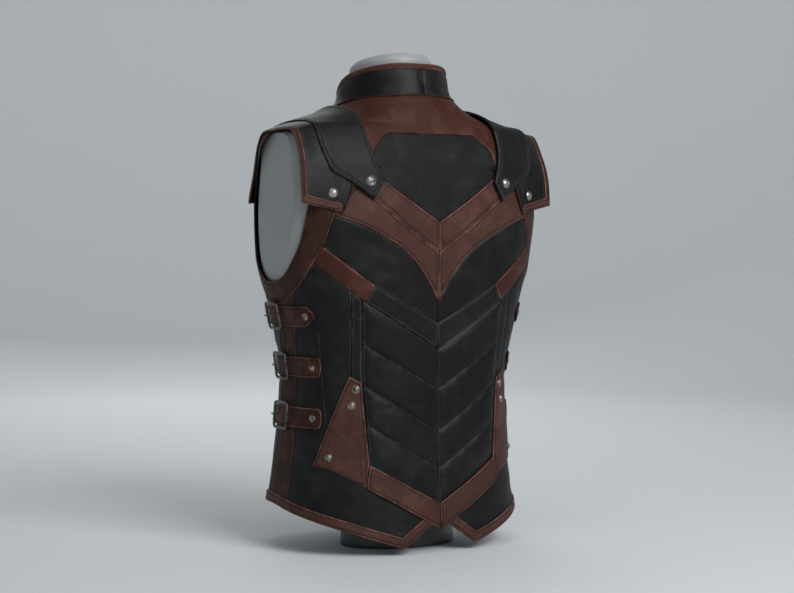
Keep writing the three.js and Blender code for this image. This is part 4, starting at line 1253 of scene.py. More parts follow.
def make_foot():
    """The low round foot that the form stands on."""
    count = 96
    turns = np.arange(count) * math.tau / count
    half_width, half_depth = FOOT["half_width"], FOOT["half_depth"]
    rings = []
    for z, scale in FOOT["profile"]:
        across, along = half_width * scale * np.sin(turns), half_depth * scale * np.cos(turns)
        rings.append(np.stack([across, along, np.full(count, z)], axis=1))
    faces = solid_faces(len(rings), count)
    # Its dark finish is partly painted shade that merges with the shadow under the vest.
    foot = new_object("form_base", np.vstack(rings), faces, [material("foot_satin")])
    edge = foot.modifiers.new("edge", "EDGE_SPLIT")
    edge.split_angle = math.radians(60)
    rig.replaces(foot, "form_foot")
    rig.slot(foot, "foot_grey")


# ---------------------------------------------------------------- the panels

# Each panel's finish, the lift of its outer face, a point inside it and the topstitching that
# runs round it: its distance from the edge and its thread. The yoke and the centre panel are
# whole; the others are cut twice.
PANELS = {
    "back_yoke": ("yoke_brown", 0.5, (0.01, 575), None),
    "back_centre_panel": ("charcoal_matte", 0.0, (0.01, 500), None),
    "upper_chevron": ("chevron_brown", 0.5, (50, 445), (3.6, "thread_dark")),
    "lower_chevron": ("chevron_brown", 0.7, (60, 418), (3.6, "thread_dark")),
    "wing": ("black_plain", 0.0, (80, 375), None),
    "band": ("band_brown", 0.9, (140, 369), None),
    "band_inner": ("black_panel", 0.5, (50, 310), (2.8, "thread_black")),
    "quilted_back": ("black_quilt", 0.1, (60, 200), (2.8, "thread_black")),
    "princess_strip": ("black_plain", 0.3, (113, 250), (2.6, "thread_black")),
    "side_back": ("black_panel", 0.0, (150, 250), (3.4, "thread_dark")),
    "side_stripe_back": ("stripe_brown", 0.5, (218, 250), None),
    "side_stripe_front": ("stripe_brown", 0.2, (238, 250), None),
    "front": ("black_plain", 0.0, (360, 300), (3.4, "thread_black")),
    "armhole_facing": ("facing_brown", 0.8, None, (4.0, "thread_dark")),
}
WHOLE_PANELS = ("back_yoke", "back_centre_panel")
SIDE_BACK_SEAM = [(165, 289), (153.5, 172)]


def armhole_outline(let_out, let_down, top=1e9):
    """The egg-shaped outline of the armhole in the flat pattern, let out by some margins."""
    out = []
    for angle in np.radians(np.arange(0, 360, 2.0)):
        back, up = math.cos(angle), math.sin(angle)
        square = ARMHOLE["back_square"] if back >= 0 else ARMHOLE["front_square"]
        reach = (abs(back) ** square + abs(up) ** square) ** (-1 / square)
        height = ARMHOLE["above"] + let_out if up >= 0 else ARMHOLE["below"] + let_down
        rise = height * up * reach
        z = min(ARMHOLE["z"] + rise, top)
        y = ARMHOLE["y"] + ARMHOLE["lean"] * rise + (ARMHOLE["half_width"] + let_out) * back * reach
        out.append((y, z))
    turns = np.radians(np.arange(2, 179, 0.5))
    flat = []
    for y, z in out:
        ys = SKIN.at(turns, np.full(len(turns), z))[:, 1]
        turn = np.interp(-y, -ys, turns)
        flat.append((SKIN.girth_at(turn, z)[0], float(SKIN.climb_at(z))))
    return np.array(flat)


def round_neck(points):
    """A line given in degrees round the neck, in the flat pattern of the skin."""
    degrees = np.arange(0, 192.5, 2.0)
    smooth = curved(points)
    z = np.interp(degrees, smooth[:, 0], smooth[:, 1])
    girth = SKIN.girth_at(np.radians(degrees), z)
    return np.stack([girth, SKIN.climb_at(z)], axis=1)


def clipped(line, polygon):
    """The part of a line outside a closed outline, carried just into it at either end."""
    inside = inside_polygon(line, polygon)
    if not inside.any() or inside.all():
        return line
    keep = np.nonzero(~inside)[0]
    first, last = keep[0], keep[-1]
    kept = list(line[first:last + 1])

    def crossing(outer, inner):
        low, high = 0.0, 1.0
        for _ in range(30):
            middle = (low + high) / 2
            at = outer + (inner - outer) * middle
            low, high = (low, middle) if inside_polygon(at[None], polygon)[0] else (middle, high)
        at = outer + (inner - outer) * high
        return at + (inner - outer) / np.linalg.norm(inner - outer) * PAST_SEAM

    if first > 0:
        kept.insert(0, crossing(line[first], line[first - 1]))
    if last < len(line) - 1:
        kept.append(crossing(line[last], line[last + 1]))
    return np.array(kept)


def panel_walls(facing):
    """All the lines that part the panels of both halves."""
    lines = []
    for name, points in SEAMS.items():
        flat = flat_line(points)
        line = clipped(curved(flat) if name in CURVED_SEAMS else resampled(flat), facing)
        if name == "centre_back":
            lines.append(line)
            continue
        if name not in EXACT_SEAMS:
            longer = overrun(line)
            if line[0][0] == 0:
                longer[0] = line[0]
            line = longer
        for sign in (1, -1):
            lines.append(line * (sign, 1))
    return lines


def half_hem():
    """The hem's edge from the middle of the back to past the middle of the front."""
    point = flat_line(HEM_POINT[1:])
    end = SKIN.girth_at(np.radians(192.0), HEM_FRONT)[0]
    side = curved(flat_line([*HEM_SIDE, (end, HEM_FRONT)]))
    return np.vstack([resampled(point), side[1:]])


def quilt_lines():
    """The quilting lines of both halves in the flat pattern."""
    return [resampled(flat_line(line) * (sign, 1)) for line in QUILT_LINES for sign in (1, -1)]


def quilt_relief(flat, edge):
    """The padding between the quilting lines, and how far each point is from a line."""
    lines = quilt_lines()
    starts = np.vstack([line[:-1] for line in lines])
    ends = np.vstack([line[1:] for line in lines])
    gap = distance_to(flat, starts, ends)
    from_line = np.minimum(gap, edge + 1.5)
    above = np.full(len(flat), 1e9)
    for line in lines:
        height = np.interp(np.abs(flat[:, 0]), np.abs(line[:, 0]), line[:, 1])
        above = np.where(flat[:, 1] >= height, np.minimum(above, flat[:, 1] - height), above)
    fold = 3.0 * np.exp(-above / 8.0) * (above < 1e8)
    puff = 3.5 * (1 - np.exp(-from_line / 5.0)) + fold * (1 - np.exp(-from_line / 1.5))
    chevron = flat_line(HEM_CHEVRON[:3])
    over_chevron = flat[:, 1] - np.interp(np.abs(flat[:, 0]), chevron[:, 0], chevron[:, 1])
    dimples = 0.35 * soft_noise(np.column_stack([flat, np.zeros(len(flat))]), 0.11, 4)
    pulls = 0.35 * np.sin(flat[:, 0] / 2.3 + flat[:, 1] / 5.0) * np.exp(-(gap / 5.0) ** 2)
    relief = puff + dimples * smoothed(from_line, 1, 8) + pulls
    return relief * smoothed(edge, 0, 7) * smoothed(over_chevron, 1, 16), gap


def make_panels():
    cell = bpy.context.scene.vest_sizes.cell / MM
    armhole = armhole_outline(0, 0)
    facing = armhole_outline(FACING["side"], FACING["below"], FACING["top"])
    walls = panel_walls(facing)
    hem = half_hem()
    neck = round_neck(NECK_SEAM)
    shoulder = [
        (float(SKIN.girth_at(math.radians(degrees), z)[0]), float(SKIN.climb_at(z)))
        for degrees, z in SHOULDER_SEAM
    ]
    shoulder = clipped(resampled(shoulder), armhole)
    outline = resampled(np.vstack([armhole, armhole[:1]]))
    edge_of_facing = resampled(np.vstack([facing, facing[:1]]))
    for sign in (1, -1):
        walls += [line * (sign, 1) for line in (hem, neck, shoulder, outline, edge_of_facing)]
    lap = 180 + FRONT_LAP
    heights = np.arange(20.0, 610.0, 4.0)
    for degrees in (lap, lap - 360):
        girth = SKIN.girth_at(np.full(len(heights), math.radians(abs(degrees))), heights)
        walls.append(np.stack([math.copysign(1, degrees) * girth, SKIN.climb_at(heights)], axis=1))
    flat, triangles, parted = triangulated(walls, cell, soft=quilt_lines())
    under_arm = facing[facing[:, 1].argmin()] * 0.5 + armhole[armhole[:, 1].argmin()] * 0.5
    labels = {name: flat_point(PANELS[name][2]) for name in WHOLE_PANELS}
    for letter, sign in SIDES:
        for name, (_, _, inside, _) in PANELS.items():
            if name not in WHOLE_PANELS:
                labels[f"{name}_{letter}"] = (flat_point(inside) if inside else under_arm) * (sign, 1)
    found = regions(flat, triangles, parted, labels)
    place = on_skin(1)
    for index, (name, faces) in enumerate(found.items()):
        kind = name if name in WHOLE_PANELS else name[:-2]
        sign = -1 if name.endswith("_R") else 1
        cut = Cut(flat, faces)
        folds = [
            ((start[0] * sign, start[1]), (end[0] * sign, end[1]), depth, wide)
            for start, end, depth, wide in CREASES.get(kind, ())
        ]
        relief = -crease_depth(cut.flat, folds) * smoothed(cut.edge, 0, 6)
        marks = None
        if kind == "quilted_back":
            quilts, gap = quilt_relief(cut.flat, cut.edge)
            relief += quilts
            # The quilting lines count as edges for the finish: a painted shade darkens each line and a painted
            # highlight runs beside it.
            marks = np.minimum(cut.edge, gap)
        finish, lift, _, stitching = PANELS[kind]
        make_piece(name, cut, place, lift, finish, stitching=stitching, relief=relief, marks=marks,
                   wall=lift + LEATHER, wander=0.35, seed=index * 0.61, roll=0.9)
    for line in quilt_lines():
        sew_line(place, line[1:-1], 0.35, "thread_black")
    for sign in (1, -1):
        sew_line(place, resampled(flat_line(SIDE_BACK_SEAM) * (sign, 1)), 0.15, "thread_black")


# ---------------------------------------------------------------- hem, gussets and straps

def offset_line(line, distance):
    """The line moved to its left, with mitred corners."""
    along = np.diff(line, axis=0)
    along /= np.linalg.norm(along, axis=1, keepdims=True)
    normal = np.stack([-along[:, 1], along[:, 0]], axis=1)
    out = [line[0] + normal[0] * distance]
    for before, after, point in zip(normal[:-1], normal[1:], line[1:-1]):
        bisector = before + after
        bisector /= np.linalg.norm(bisector)
        out.append(point + bisector * distance / max(0.3, bisector @ after))
    out.append(line[-1] + normal[-1] * distance)
    return np.array(out)


RIVET_PROFILE = [
    (5.3, 0.0), (5.4, 0.45), (5.1, 0.9), (4.5, 1.0), (4.05, 0.75), (3.9, 0.9), (3.6, 1.7), (2.8, 2.4),
    (1.6, 2.85), (0.0, 3.0),
]
SNAP_PROFILE = [
    (6.2, 0.0), (6.4, 0.5), (6.25, 1.0), (5.8, 1.65), (5.0, 2.3), (4.0, 2.85), (2.8, 3.25), (1.4, 3.5),
    (0.0, 3.55),
]
STRAP_RIVET_PROFILE = [
    (4.6, 0.0), (4.7, 0.4), (4.3, 0.85), (3.7, 0.8), (3.2, 0.5), (2.9, 0.7), (2.2, 1.3), (1.1, 1.55),
    (0.0, 1.6),
]
EYELET_PROFILE = [(2.3, 0.0), (2.35, 0.3), (1.9, 0.35), (1.6, 0.12), (0.0, 0.08)]
# The flat ring under each snap is a real part, wider than the dome; its dark metal is painted shade round the dome.
SNAP_SHADE_RING_PROFILE = [(7.9, 0.0), (8.0, 0.3), (7.4, 0.55), (6.0, 0.45), (0.0, 0.4)]


def make_overlays():
    for letter, sign in SIDES:
        place = on_skin(sign)
        under_gusset = [f"side_back_{letter}", f"quilted_back_{letter}"]
        under_chevron = [f"quilted_back_{letter}", f"gusset_{letter}"]
        cut = cut_outline(resampled(flat_line(GUSSET)))
        settle = -0.5 * smoothed(-cut.flat[:, 1], -150, -110)
        make_piece(f"gusset_{letter}", cut, place, OVERLAY_LIFT, "gusset_brown", under_gusset,
                   stitching=(3.2, "thread_dark"), relief=settle, seed=2 + sign)
        for first, thread, line in GUSSET_SEAMS:
            sew_line(place, resampled(flat_line(line))[first:], OVERLAY_LIFT + 0.25, thread)
        heads = joined(f"gusset_rivets_{letter}", [
            stand_dome(place, flat_point(at), OVERLAY_LIFT - 0.1, RIVET_PROFILE, "antique_silver")
            for at in GUSSET_RIVETS
        ])
        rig.slot(heads, "pewter")
        cut = cut_outline(resampled(flat_line(HEM_CHEVRON)))
        make_piece(f"hem_chevron_{letter}", cut, place, OVERLAY_LIFT + 0.9, "gusset_brown", under_chevron,
                   stitching=(3.2, "thread_dark"), wall=2.2, seed=4 + sign)
        make_hem_binding(letter, sign)


def make_hem_binding(letter, sign):
    """The binding along half the hem, mitred at the hem's lowest corner."""
    hem = half_hem()
    hem = np.vstack([[hem[0] + (SEAM_GAP, 0)], hem[1:]])
    lap = (180 + FRONT_LAP * sign) - LAP_GAP * sign
    limit = SKIN.girth_at(np.radians([lap]), HEM_FRONT)[0]
    hem = hem[hem[:, 0] < limit - 1]
    hem = np.vstack([hem, [limit, SKIN.climb_at(HEM_FRONT)]])
    lower = offset_line(hem, -EDGE_OVER)
    upper = offset_line(hem, BINDING_WIDTH)
    upper[:, 0] = np.maximum(upper[:, 0], SEAM_GAP)
    corner = np.argmin(hem[:, 1])
    tip = upper[corner]
    before, after = upper[:corner], upper[corner + 1:]
    upper = np.vstack([before[before[:, 0] < tip[0] - 1], tip[None], after[after[:, 0] > tip[0] + 1]])
    outline = np.vstack([lower, upper[::-1]])
    cut = cut_outline(resampled(outline, 3.0), cell=4.0, rings=(1.4, 3.0, 6.2))
    make_piece(f"hem_binding_{letter}", cut, on_skin(sign), OVERLAY_LIFT - 0.3, "binding_brown",
               [f"side_back_{letter}", f"front_{letter}"], strip=BINDING_WIDTH + EDGE_OVER,
               stitching=(3.0, "thread_dark"), roll=1.1, wall=2.0, seed=6 + sign)


def lifted_path(place, flat, lift):
    """Points on the leather along a line of the flat pattern, and which way is out at each."""
    low, high = (place(flat, np.full(len(flat), above)) for above in (lift, lift + 1.0))
    normals = high - low
    return low, normals / np.linalg.norm(normals, axis=1, keepdims=True)


def rounded_rectangle(centre, half_x, half_y, radius):
    steps = 6
    out = []
    for corner, (sx, sy) in enumerate(((1, 1), (-1, 1), (-1, -1), (1, -1))):
        middle = np.array(centre) + (sx * (half_x - radius), sy * (half_y - radius))
        for k in range(steps + 1):
            angle = (corner + k / steps) * math.pi / 2
            out.append(middle + radius * np.array([math.cos(angle), math.sin(angle)]))
    return resampled([*out, out[0]])[:-1]


def side_strap_outline(strap, tip):
    """A strap from its tip over the side seam to past its buckle, level at its height."""
    z, half, taper = strap["z"], STRAP_WIDTH / 2, strap["taper"]
    end = strap["buckle"] + STRAP_BEHIND_BUCKLE
    if strap["name"] == "upper":
        nose = [(0, 2), (4, 6.2), (taper, half)]
    else:
        nose = [
            (taper * (1 - math.cos(t) ** 0.6), half * math.sin(t) ** 0.9)
            for t in np.linspace(0.12, math.pi / 2, 9)
        ]
    corners = [(tip + x, z + y) for x, y in nose] + [(end, z + half), (end, z - half)]
    corners += [(tip + x, z - y) for x, y in reversed(nose)]
    return resampled(flat_line(corners))


def make_side_straps():
    for letter, sign in SIDES:
        place = on_skin(sign)
        for number, strap in enumerate(SIDE_STRAPS):
            name, z, tip, buckle = strap["name"], strap["z"], strap["tips"][letter], strap["buckle"]
            cut = cut_outline(side_strap_outline(strap, tip), cell=4.2)
            along = cut.flat[:, 0]
            arch = 1.9 * np.exp(-((along - buckle) / 15.0) ** 4)
            arch = arch + 0.5 * np.exp(-((along - tip - 34) / 14.0) ** 2)
            make_piece(f"side_strap_{name}_{letter}", cut, place, OVERLAY_LIFT + 0.2, "strap_brown",
                       [f"side_back_{letter}", f"front_{letter}"], strip=STRAP_WIDTH,
                       stitching=(3.0, "thread_dark"), relief=arch, seed=8 + number + sign)
            rivet = flat_point((tip + STRAP_RIVET_FROM_TIP, z))
            heads = [stand_dome(place, rivet, OVERLAY_LIFT + 0.1, STRAP_RIVET_PROFILE, "antique_silver")]
            for back in EYELETS_BEHIND_BUCKLE:
                eyelet = flat_point((buckle - back, z))
                heads.append(stand_dome(place, eyelet, OVERLAY_LIFT + 0.45, EYELET_PROFILE, "dark_metal"))
            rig.slot(joined(f"strap_rivet_{name}_{letter}", heads), "pewter")
            make_buckle(letter, place, name, z, buckle)


def make_buckle(letter, place, name, z, buckle):
    """A flat cast frame across the strap, with the prong that ends on its far bar."""
    centre = flat_point((buckle, z))
    around = centre + np.array([(0, 0), (1, 0), (0, 1)])
    origin, across, above = place(around, np.full(3, BUCKLE_LIFT + 1.0))
    u, v = across - origin, above - origin
    u /= np.linalg.norm(u)
    normal = np.cross(u, v)
    normal *= np.sign(normal @ (origin - place(around[:1], np.array([0.0]))[0]))
    normal /= np.linalg.norm(normal)
    v = np.cross(normal, u)

    def on_plane(flat, rise):
        flat = np.asarray(flat) - centre
        droop = BUCKLE_DROOP * (flat[:, 0] / BUCKLE_LENGTH * 2) ** 2
        points = origin + flat[:, :1] * u + flat[:, 1:] * v * np.sign(v @ (above - origin))
        return points + normal * (np.asarray(rise) - droop)[:, None]

    half_x, half_y = BUCKLE_LENGTH / 2 - BUCKLE_BAR, BUCKLE_HEIGHT / 2 - BUCKLE_BAR
    frame_line = rounded_rectangle(centre, half_x, half_y, BUCKLE_CORNER)
    path = on_plane(frame_line, np.zeros(len(frame_line)))
    parts = [tube(path, np.tile(normal, (len(path), 1)), BUCKLE_BAR, 1.5, "pewter", count=14)]
    reach = np.linspace(-4.0, BUCKLE_LENGTH / 2 + 2.4, 15)
    prong = np.array([centre + (x, 0) for x in reach])
    path = on_plane(prong, -2.2 + 4.2 * smoothed(reach, 0, 19))
    parts.append(tube(path, np.tile(normal, (len(path), 1)), 1.4, 1.1, "pewter", closed=False))
    piece = joined(f"buckle_{name}_{letter}", parts)
    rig.replaces(piece, f"buckle_{name}_{letter}")
    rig.slot(piece, "pewter")


# ---------------------------------------------------------------- shoulders and collar

def shoulder_flat(points):
    return np.array([(out, turn * ARC_PER_DEGREE) for out, turn in points], float)


def cap_drop(flat):
    """The cap's outer edge hangs a little lower along the top of the shoulder."""
    turn = flat[:, 1] / ARC_PER_DEGREE
    return -6.5 * smoothed(flat[:, 0], 158, 190) * smoothed(turn, 24, 58) * (1 - smoothed(turn, 108, 176))


def strap_edge(points):
    """One long edge of the shoulder strap, smooth between the corners of its tips."""
    flat = shoulder_flat(points)
    return np.vstack([flat[:1], curved(flat[1:-1]), flat[-1:]])


def cap_binding_outline(outer, rim):
    """A band along the cap's outer edge that narrows along the cap's two ends."""
    turned = 6.0 * ARC_PER_DEGREE
    low, high = rim[1][1] + turned, rim[-2][1] - turned
    inside_edge = np.vstack([
        rim[0] + (0, turned), (rim[1][0] - CAP_BINDING, low),
        *[(out - CAP_BINDING, arc) for out, arc in outer if low + 3 < arc < high - 3],
        (rim[-2][0] - CAP_BINDING, high), rim[-1] - (0, turned),
    ])
    return resampled(np.vstack([offset_line(rim, -EDGE_OVER), inside_edge[::-1]]))


def make_shoulders():
    inner, outer = curved(shoulder_flat(CAP_INNER)), curved(shoulder_flat(CAP_OUTER))
    cap_outline = np.vstack([inner, outer[::-1]])
    cap_segments = np.vstack([cap_outline, cap_outline[:1]])
    rim = np.vstack([inner[:1], outer, inner[-1:]])
    strap_outline = resampled(np.vstack([strap_edge(STRAP_INNER), strap_edge(STRAP_OUTER)[::-1]]))
    for letter, sign in SIDES:
        place = on_shoulder(sign)
        cut = cut_outline(resampled(cap_outline), cell=4.6)
        puff = 0.5 * smoothed(cut.edge, 0, 22) + cap_drop(cut.flat)
        make_piece(f"shoulder_cap_{letter}", cut, place, CAP_LIFT, "black_gloss",
                   ["form_torso", f"front_{letter}"], stitching=(10.4, "thread_black"), relief=puff,
                   wall=2.4, seed=12 + sign, wander=0.5)

        cut = cut_outline(cap_binding_outline(outer, rim), cell=3.4, rings=(1.4, 3.0, 5.2))
        ridge = 0.55 * np.exp(-((cut.edge - 2.6) / 1.2) ** 2)
        make_piece(f"shoulder_cap_binding_{letter}", cut, place, CAP_LIFT + 1.1, "binding_brown",
                   [f"shoulder_cap_{letter}"], strip=CAP_BINDING, stitching=(3.0, "thread_dark"),
                   relief=ridge + cap_drop(cut.flat), wall=2.9, roll=1.3, seed=14 + sign)

        cut = cut_outline(strap_outline, cell=4.6)
        gap = distance_to(cut.flat, cap_segments[:-1], cap_segments[1:])
        over_cap = np.where(inside_polygon(cut.flat, cap_outline), gap, -gap)
        settle = 0.8 * (1 - smoothed(over_cap, -9, 3))
        ridge = 0.5 * np.exp(-((cut.edge - 2.2) / 1.3) ** 2)
        make_piece(f"shoulder_strap_{letter}", cut, place, SHOULDER_STRAP_LIFT, "black_strap",
                   [f"shoulder_cap_{letter}", "back_yoke"], stitching=(3.4, "thread_black"),
                   relief=settle + ridge, wall=3.0, roll=1.1, seed=16 + sign, wander=0.4)
        sew(cut, 6.4, "thread_black")

        for name, (out, turn) in SHOULDER_SNAPS.items():
            at = np.array([out, turn * ARC_PER_DEGREE])
            lift = SHOULDER_STRAP_LIFT + 0.7 if name == "strap" else CAP_LIFT + 0.8
            head = stand_dome(place, at, lift, SNAP_PROFILE, "silver")
            # The ring's dark metal is painted shade round the dome.
            ring = stand_dome(place, at, lift - 0.1, SNAP_SHADE_RING_PROFILE, "dark_metal")
            piece = joined(f"{name}_snap_{letter}", [head, ring])
            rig.replaces(piece, f"{name}_snap_{letter}")
            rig.slot(piece, "silver")
        cord = resampled(offset_line(inner, 1.0), 3.0)
        make_piping(f"cap_piping_{letter}", place, cord, CAP_LIFT - 0.1, 1.2)


def make_piping(name, place, flat, lift, half_height):
    """A thin cord of leather along a seam."""
    path, normals = lifted_path(place, flat, lift)
    cord = tube(path, normals, 1.3, half_height, "piping_brown", closed=False, count=8)
    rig.slot(joined(name, [cord]), "brown_leather")


def collar_line(points, low, high, shift=0.0):
    """A line round the neck in the collar's own pattern, between two angles in degrees."""
    smooth = curved(points)
    degrees = np.arange(low, high + 0.01, 3.0)
    folded = np.where(degrees > 180, 360 - degrees, degrees)
    z = np.interp(folded, smooth[:, 0], smooth[:, 1]) + shift
    return np.stack([degrees * COLLAR_ARC, z], axis=1)


def round_collar(points, before, after, shift=0.0):
    """A line right round the neck, from the right front edge over the back to the left one."""
    half = collar_line(points, 0, 180 + FRONT_LAP - before, shift)
    other = collar_line(points, 0, 180 - FRONT_LAP + after, shift) * (-1, 1)
    return np.vstack([other[:0:-1], half])


def make_collar():
    for letter, sign in SIDES:
        end = 180 + sign * FRONT_LAP - LAP_GAP / 2 * sign
        foot = collar_line(NECK_SEAM, COLLAR_SEAM, end, 0.8)
        top = collar_line(COLLAR_RIM, COLLAR_SEAM, end, -RIM_BINDING + 1.5)
        cut = cut_outline(resampled(np.vstack([foot, top[::-1]])), cell=4.2)
        below, above = (np.interp(cut.flat[:, 0], line[:, 0], line[:, 1]) for line in (foot, top))
        wave = 0.4 * np.sin((cut.flat[:, 1] - 0.5 * (below + above)) / 5.2) * smoothed(cut.edge, 0, 7)
        make_piece(f"collar_{letter}", cut, on_collar(sign), 0.3, "black_gloss",
                   ["back_yoke", f"front_{letter}"], relief=wave, wander=0.7, seed=20 + sign)
    place = on_collar(1)
    for beside_seam in (-COLLAR_STITCH, COLLAR_STITCH):
        heights = np.arange(NECK_SEAM[0][1] + 3, COLLAR_RIM[0][1] - RIM_BINDING - 1, 2.0)
        line = np.column_stack([np.full(len(heights), beside_seam), heights])
        sew_line(place, line, 0.75, "thread_black")
    rim = round_collar(COLLAR_RIM, LAP_GAP, LAP_GAP)
    outline = resampled(np.vstack([rim + (0, 0.4), (rim - (0, RIM_BINDING))[::-1]]))
    cut = cut_outline(outline, cell=3.0, rings=(1.2, 2.4, 3.6))
    make_piece("collar_binding", cut, place, 1.3, "binding_brown", ["collar_L", "collar_R"],
               strip=RIM_BINDING, stitching=(2.9, "thread_brown"), wall=3.0, roll=1.2, seed=23)
    make_piping("collar_piping", place, round_collar(NECK_SEAM, 1, -1, 0.2), 0.6, 1.3)


# ---------------------------------------------------------------- stitches

THREAD_WIDTH = 0.8
THREAD_HEIGHT = 0.42


def dashes(path, normals, pitch, long, wide, high):
    """Small sunk stitches evenly along a path."""
    steps = np.linalg.norm(np.diff(path, axis=0), axis=1)
    run = np.concatenate([[0], np.cumsum(steps)])
    count = int((run[-1] - long) / pitch)
    if count < 1:
        return [], []
    centres = (np.arange(count) + 0.5) * (run[-1] / count)

    def at(values, where):
        return np.stack([np.interp(where, run, values[:, k]) for k in range(3)], axis=1)

    here = at(path, centres)
    back, ahead = at(path, centres - long / 2), at(path, centres + long / 2)
    along = ahead - back
    along /= np.maximum(np.linalg.norm(along, axis=1, keepdims=True), 1e-9)
    up = at(normals, centres)
    up /= np.linalg.norm(up, axis=1, keepdims=True)
    side = np.cross(up, along)
    points, faces = [], []
    shape = [
        (-0.5, 0, -0.35), (-0.22, 0.5, 0.1), (-0.22, -0.5, 0.1), (0.22, 0.5, 0.1), (0.22, -0.5, 0.1),
        (0.5, 0, -0.35), (-0.2, 0, 1), (0.2, 0, 1),
    ]
    links = [(0, 2, 6), (0, 6, 1), (2, 4, 7, 6), (1, 6, 7, 3), (5, 7, 4), (5, 3, 7), (0, 1, 3, 5, 4, 2)]
    for c, a, s, u in zip(here, along, side, up):
        first = len(points)
        points.extend(c + a * x * long + s * y * wide + u * h * high for x, y, h in shape)
        faces.extend(tuple(first + i for i in face) for face in links)
    return points, faces


def make_stitches():
    if not THREADS:
        raise RuntimeError("the leather pieces are made before their stitches")
    sizes = bpy.context.scene.vest_sizes
    gathered = {}
    for colour, place, flat, top in THREADS:
        path = place(flat, top)
        normals = place(flat, top + 1.0) - path
        pitch, long = sizes.stitch_pitch / MM, sizes.stitch_length / MM
        points, faces = dashes(path, normals, pitch, long, THREAD_WIDTH, THREAD_HEIGHT)
        held = gathered.setdefault(colour, ([], []))
        first = len(held[0])
        held[0].extend(points)
        held[1].extend(tuple(first + i for i in face) for face in faces)
    for colour, (points, faces) in gathered.items():
        piece = new_object(f"stitches_{colour[7:]}", points, faces, [material(colour)])
        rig.slot(piece, "brown_leather" if colour == "thread_brown" else "black_leather")
    THREADS.clear()


# ---------------------------------------------------------------- the stage

# What the camera looks at, and where it stands: its turn about +Z and its height, in degrees.
TARGET = (0, 0, 0.332)
AZIMUTH = 148.5
ELEVATION = 1.7
# Each lamp's place from the middle of the vest, towards the camera, to the right and up, the
# size of its panel and its power.
LAMPS = {
    "key": (1.7, -1.2, 1.3, (1.3, 1.3), 44),
    "fill": (2.4, 1.0, 0.5, (1.6, 1.6), 1.6),
    "rim_left": (-0.9, -1.5, 0.6, (0.3, 1.2), 0.7),
    "rim_right": (-0.8, 1.5, 0.6, (0.3, 1.2), 0.35),
    "front": (-2.6, 0.5, 1.0, (1.5, 1.5), 11),
    "top": (0.9, 0.0, 2.2, (1.4, 1.4), 10),
    "backdrop": (-1.2, 0.0, 1.9, (2.0, 1.0), 16),
}


def make_lamp(name, at, target, size, power):
    data = bpy.data.lights.new(name, "AREA")
    data.shape, data.size, data.size_y = "RECTANGLE", size[0], size[1]
    data.energy = power
    lamp = bpy.data.objects.new(name, data)
    lamp.location = at
    lamp.rotation_euler = (Vector(target) - Vector(at)).to_track_quat("-Z", "Y").to_euler()
    bpy.context.scene.collection.objects.link(lamp)


def make_floor_bowl():
    """A round floor that bends up into the backdrop."""
    count, radius, bend, top = 48, 2.6, 1.0, 3.4
    profile = [(2.0, 0.0)]
    for turn in np.linspace(0, math.pi / 2, 10):
        profile.append((radius + bend * math.sin(turn), bend * (1 - math.cos(turn))))
    profile.append((radius + bend, top))
    turns = [i * math.tau / count for i in range(count)]
    points = [(out * math.cos(turn), out * math.sin(turn), up) for out, up in profile for turn in turns]
    mesh = bpy.data.meshes.new("floor")
    mesh.from_pydata(points, [], [*ring_faces(len(profile), count), tuple(reversed(range(count)))])
    mesh.polygons.foreach_set("use_smooth", [True] * len(mesh.polygons))
    mesh.materials.append(material("pale_floor"))
    floor = bpy.data.objects.new("floor", mesh)
    bpy.context.scene.collection.objects.link(floor)
    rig.stage(floor)


def make_stage():
    look = bpy.context.scene.vest_stage
    target = Vector(TARGET)
    azimuth, elevation = math.radians(AZIMUTH), math.radians(ELEVATION)
    away = Vector((
        math.sin(math.pi - azimuth) * math.cos(elevation), -math.cos(azimuth) * math.cos(elevation),
        math.sin(elevation),
    ))
    data = bpy.data.cameras.new("view")
    data.lens, data.sensor_width, data.sensor_fit = look.lens, 36.0, "HORIZONTAL"
    data.clip_end = 50
    camera = bpy.data.objects.new("view", data)
    camera.location = target + away * look.distance
    camera.rotation_euler = (-away).to_track_quat("-Z", "Y").to_euler()
    bpy.context.scene.collection.objects.link(camera)
    bpy.context.scene.camera = camera

    make_floor_bowl()
    side = away.cross(Vector((0, 0, 1))).normalized()
    for name, (nearer, sideways, higher, size, power) in LAMPS.items():
        at = target + away * nearer + side * sideways + Vector((0, 0, higher))
        aim = target - away * 3 if name == "backdrop" else target
        make_lamp(name, at, aim, size, power * look.brightness)
    world = bpy.data.worlds.new("studio")
    bpy.context.scene.world = world
    world.use_nodes = True
    background = world.node_tree.nodes["Background"]
    background.inputs["Color"].default_value = (*look.surround, 1)
    background.inputs["Strength"].default_value = look.surround_strength
    bpy.context.scene.view_settings.view_transform = "Standard"


# ---------------------------------------------------------------- the add-on

def amount(name, description, default, least=0, **more):
    return FloatProperty(name=name, description=description, default=default, min=least, **more)


def length(name, description, default):
    return amount(name, description, default, unit="LENGTH", precision=4)


def colour(name, description, default):
    settings = {"size": 3, "subtype": "COLOR", "min": 0, "max": 1}
    return FloatVectorProperty(name=name, description=description, default=default, **settings)


class VestSizes(bpy.types.PropertyGroup):
    """Sizes of the vest's making"""
    cell: length("Mesh cell", "Size of the triangles between the seams", 0.0048)
    stitch_pitch: length("Stitch pitch", "Distance from one stitch to the next", 0.0036)
    stitch_length: length("Stitch length", "Length of each stitch", 0.0025)


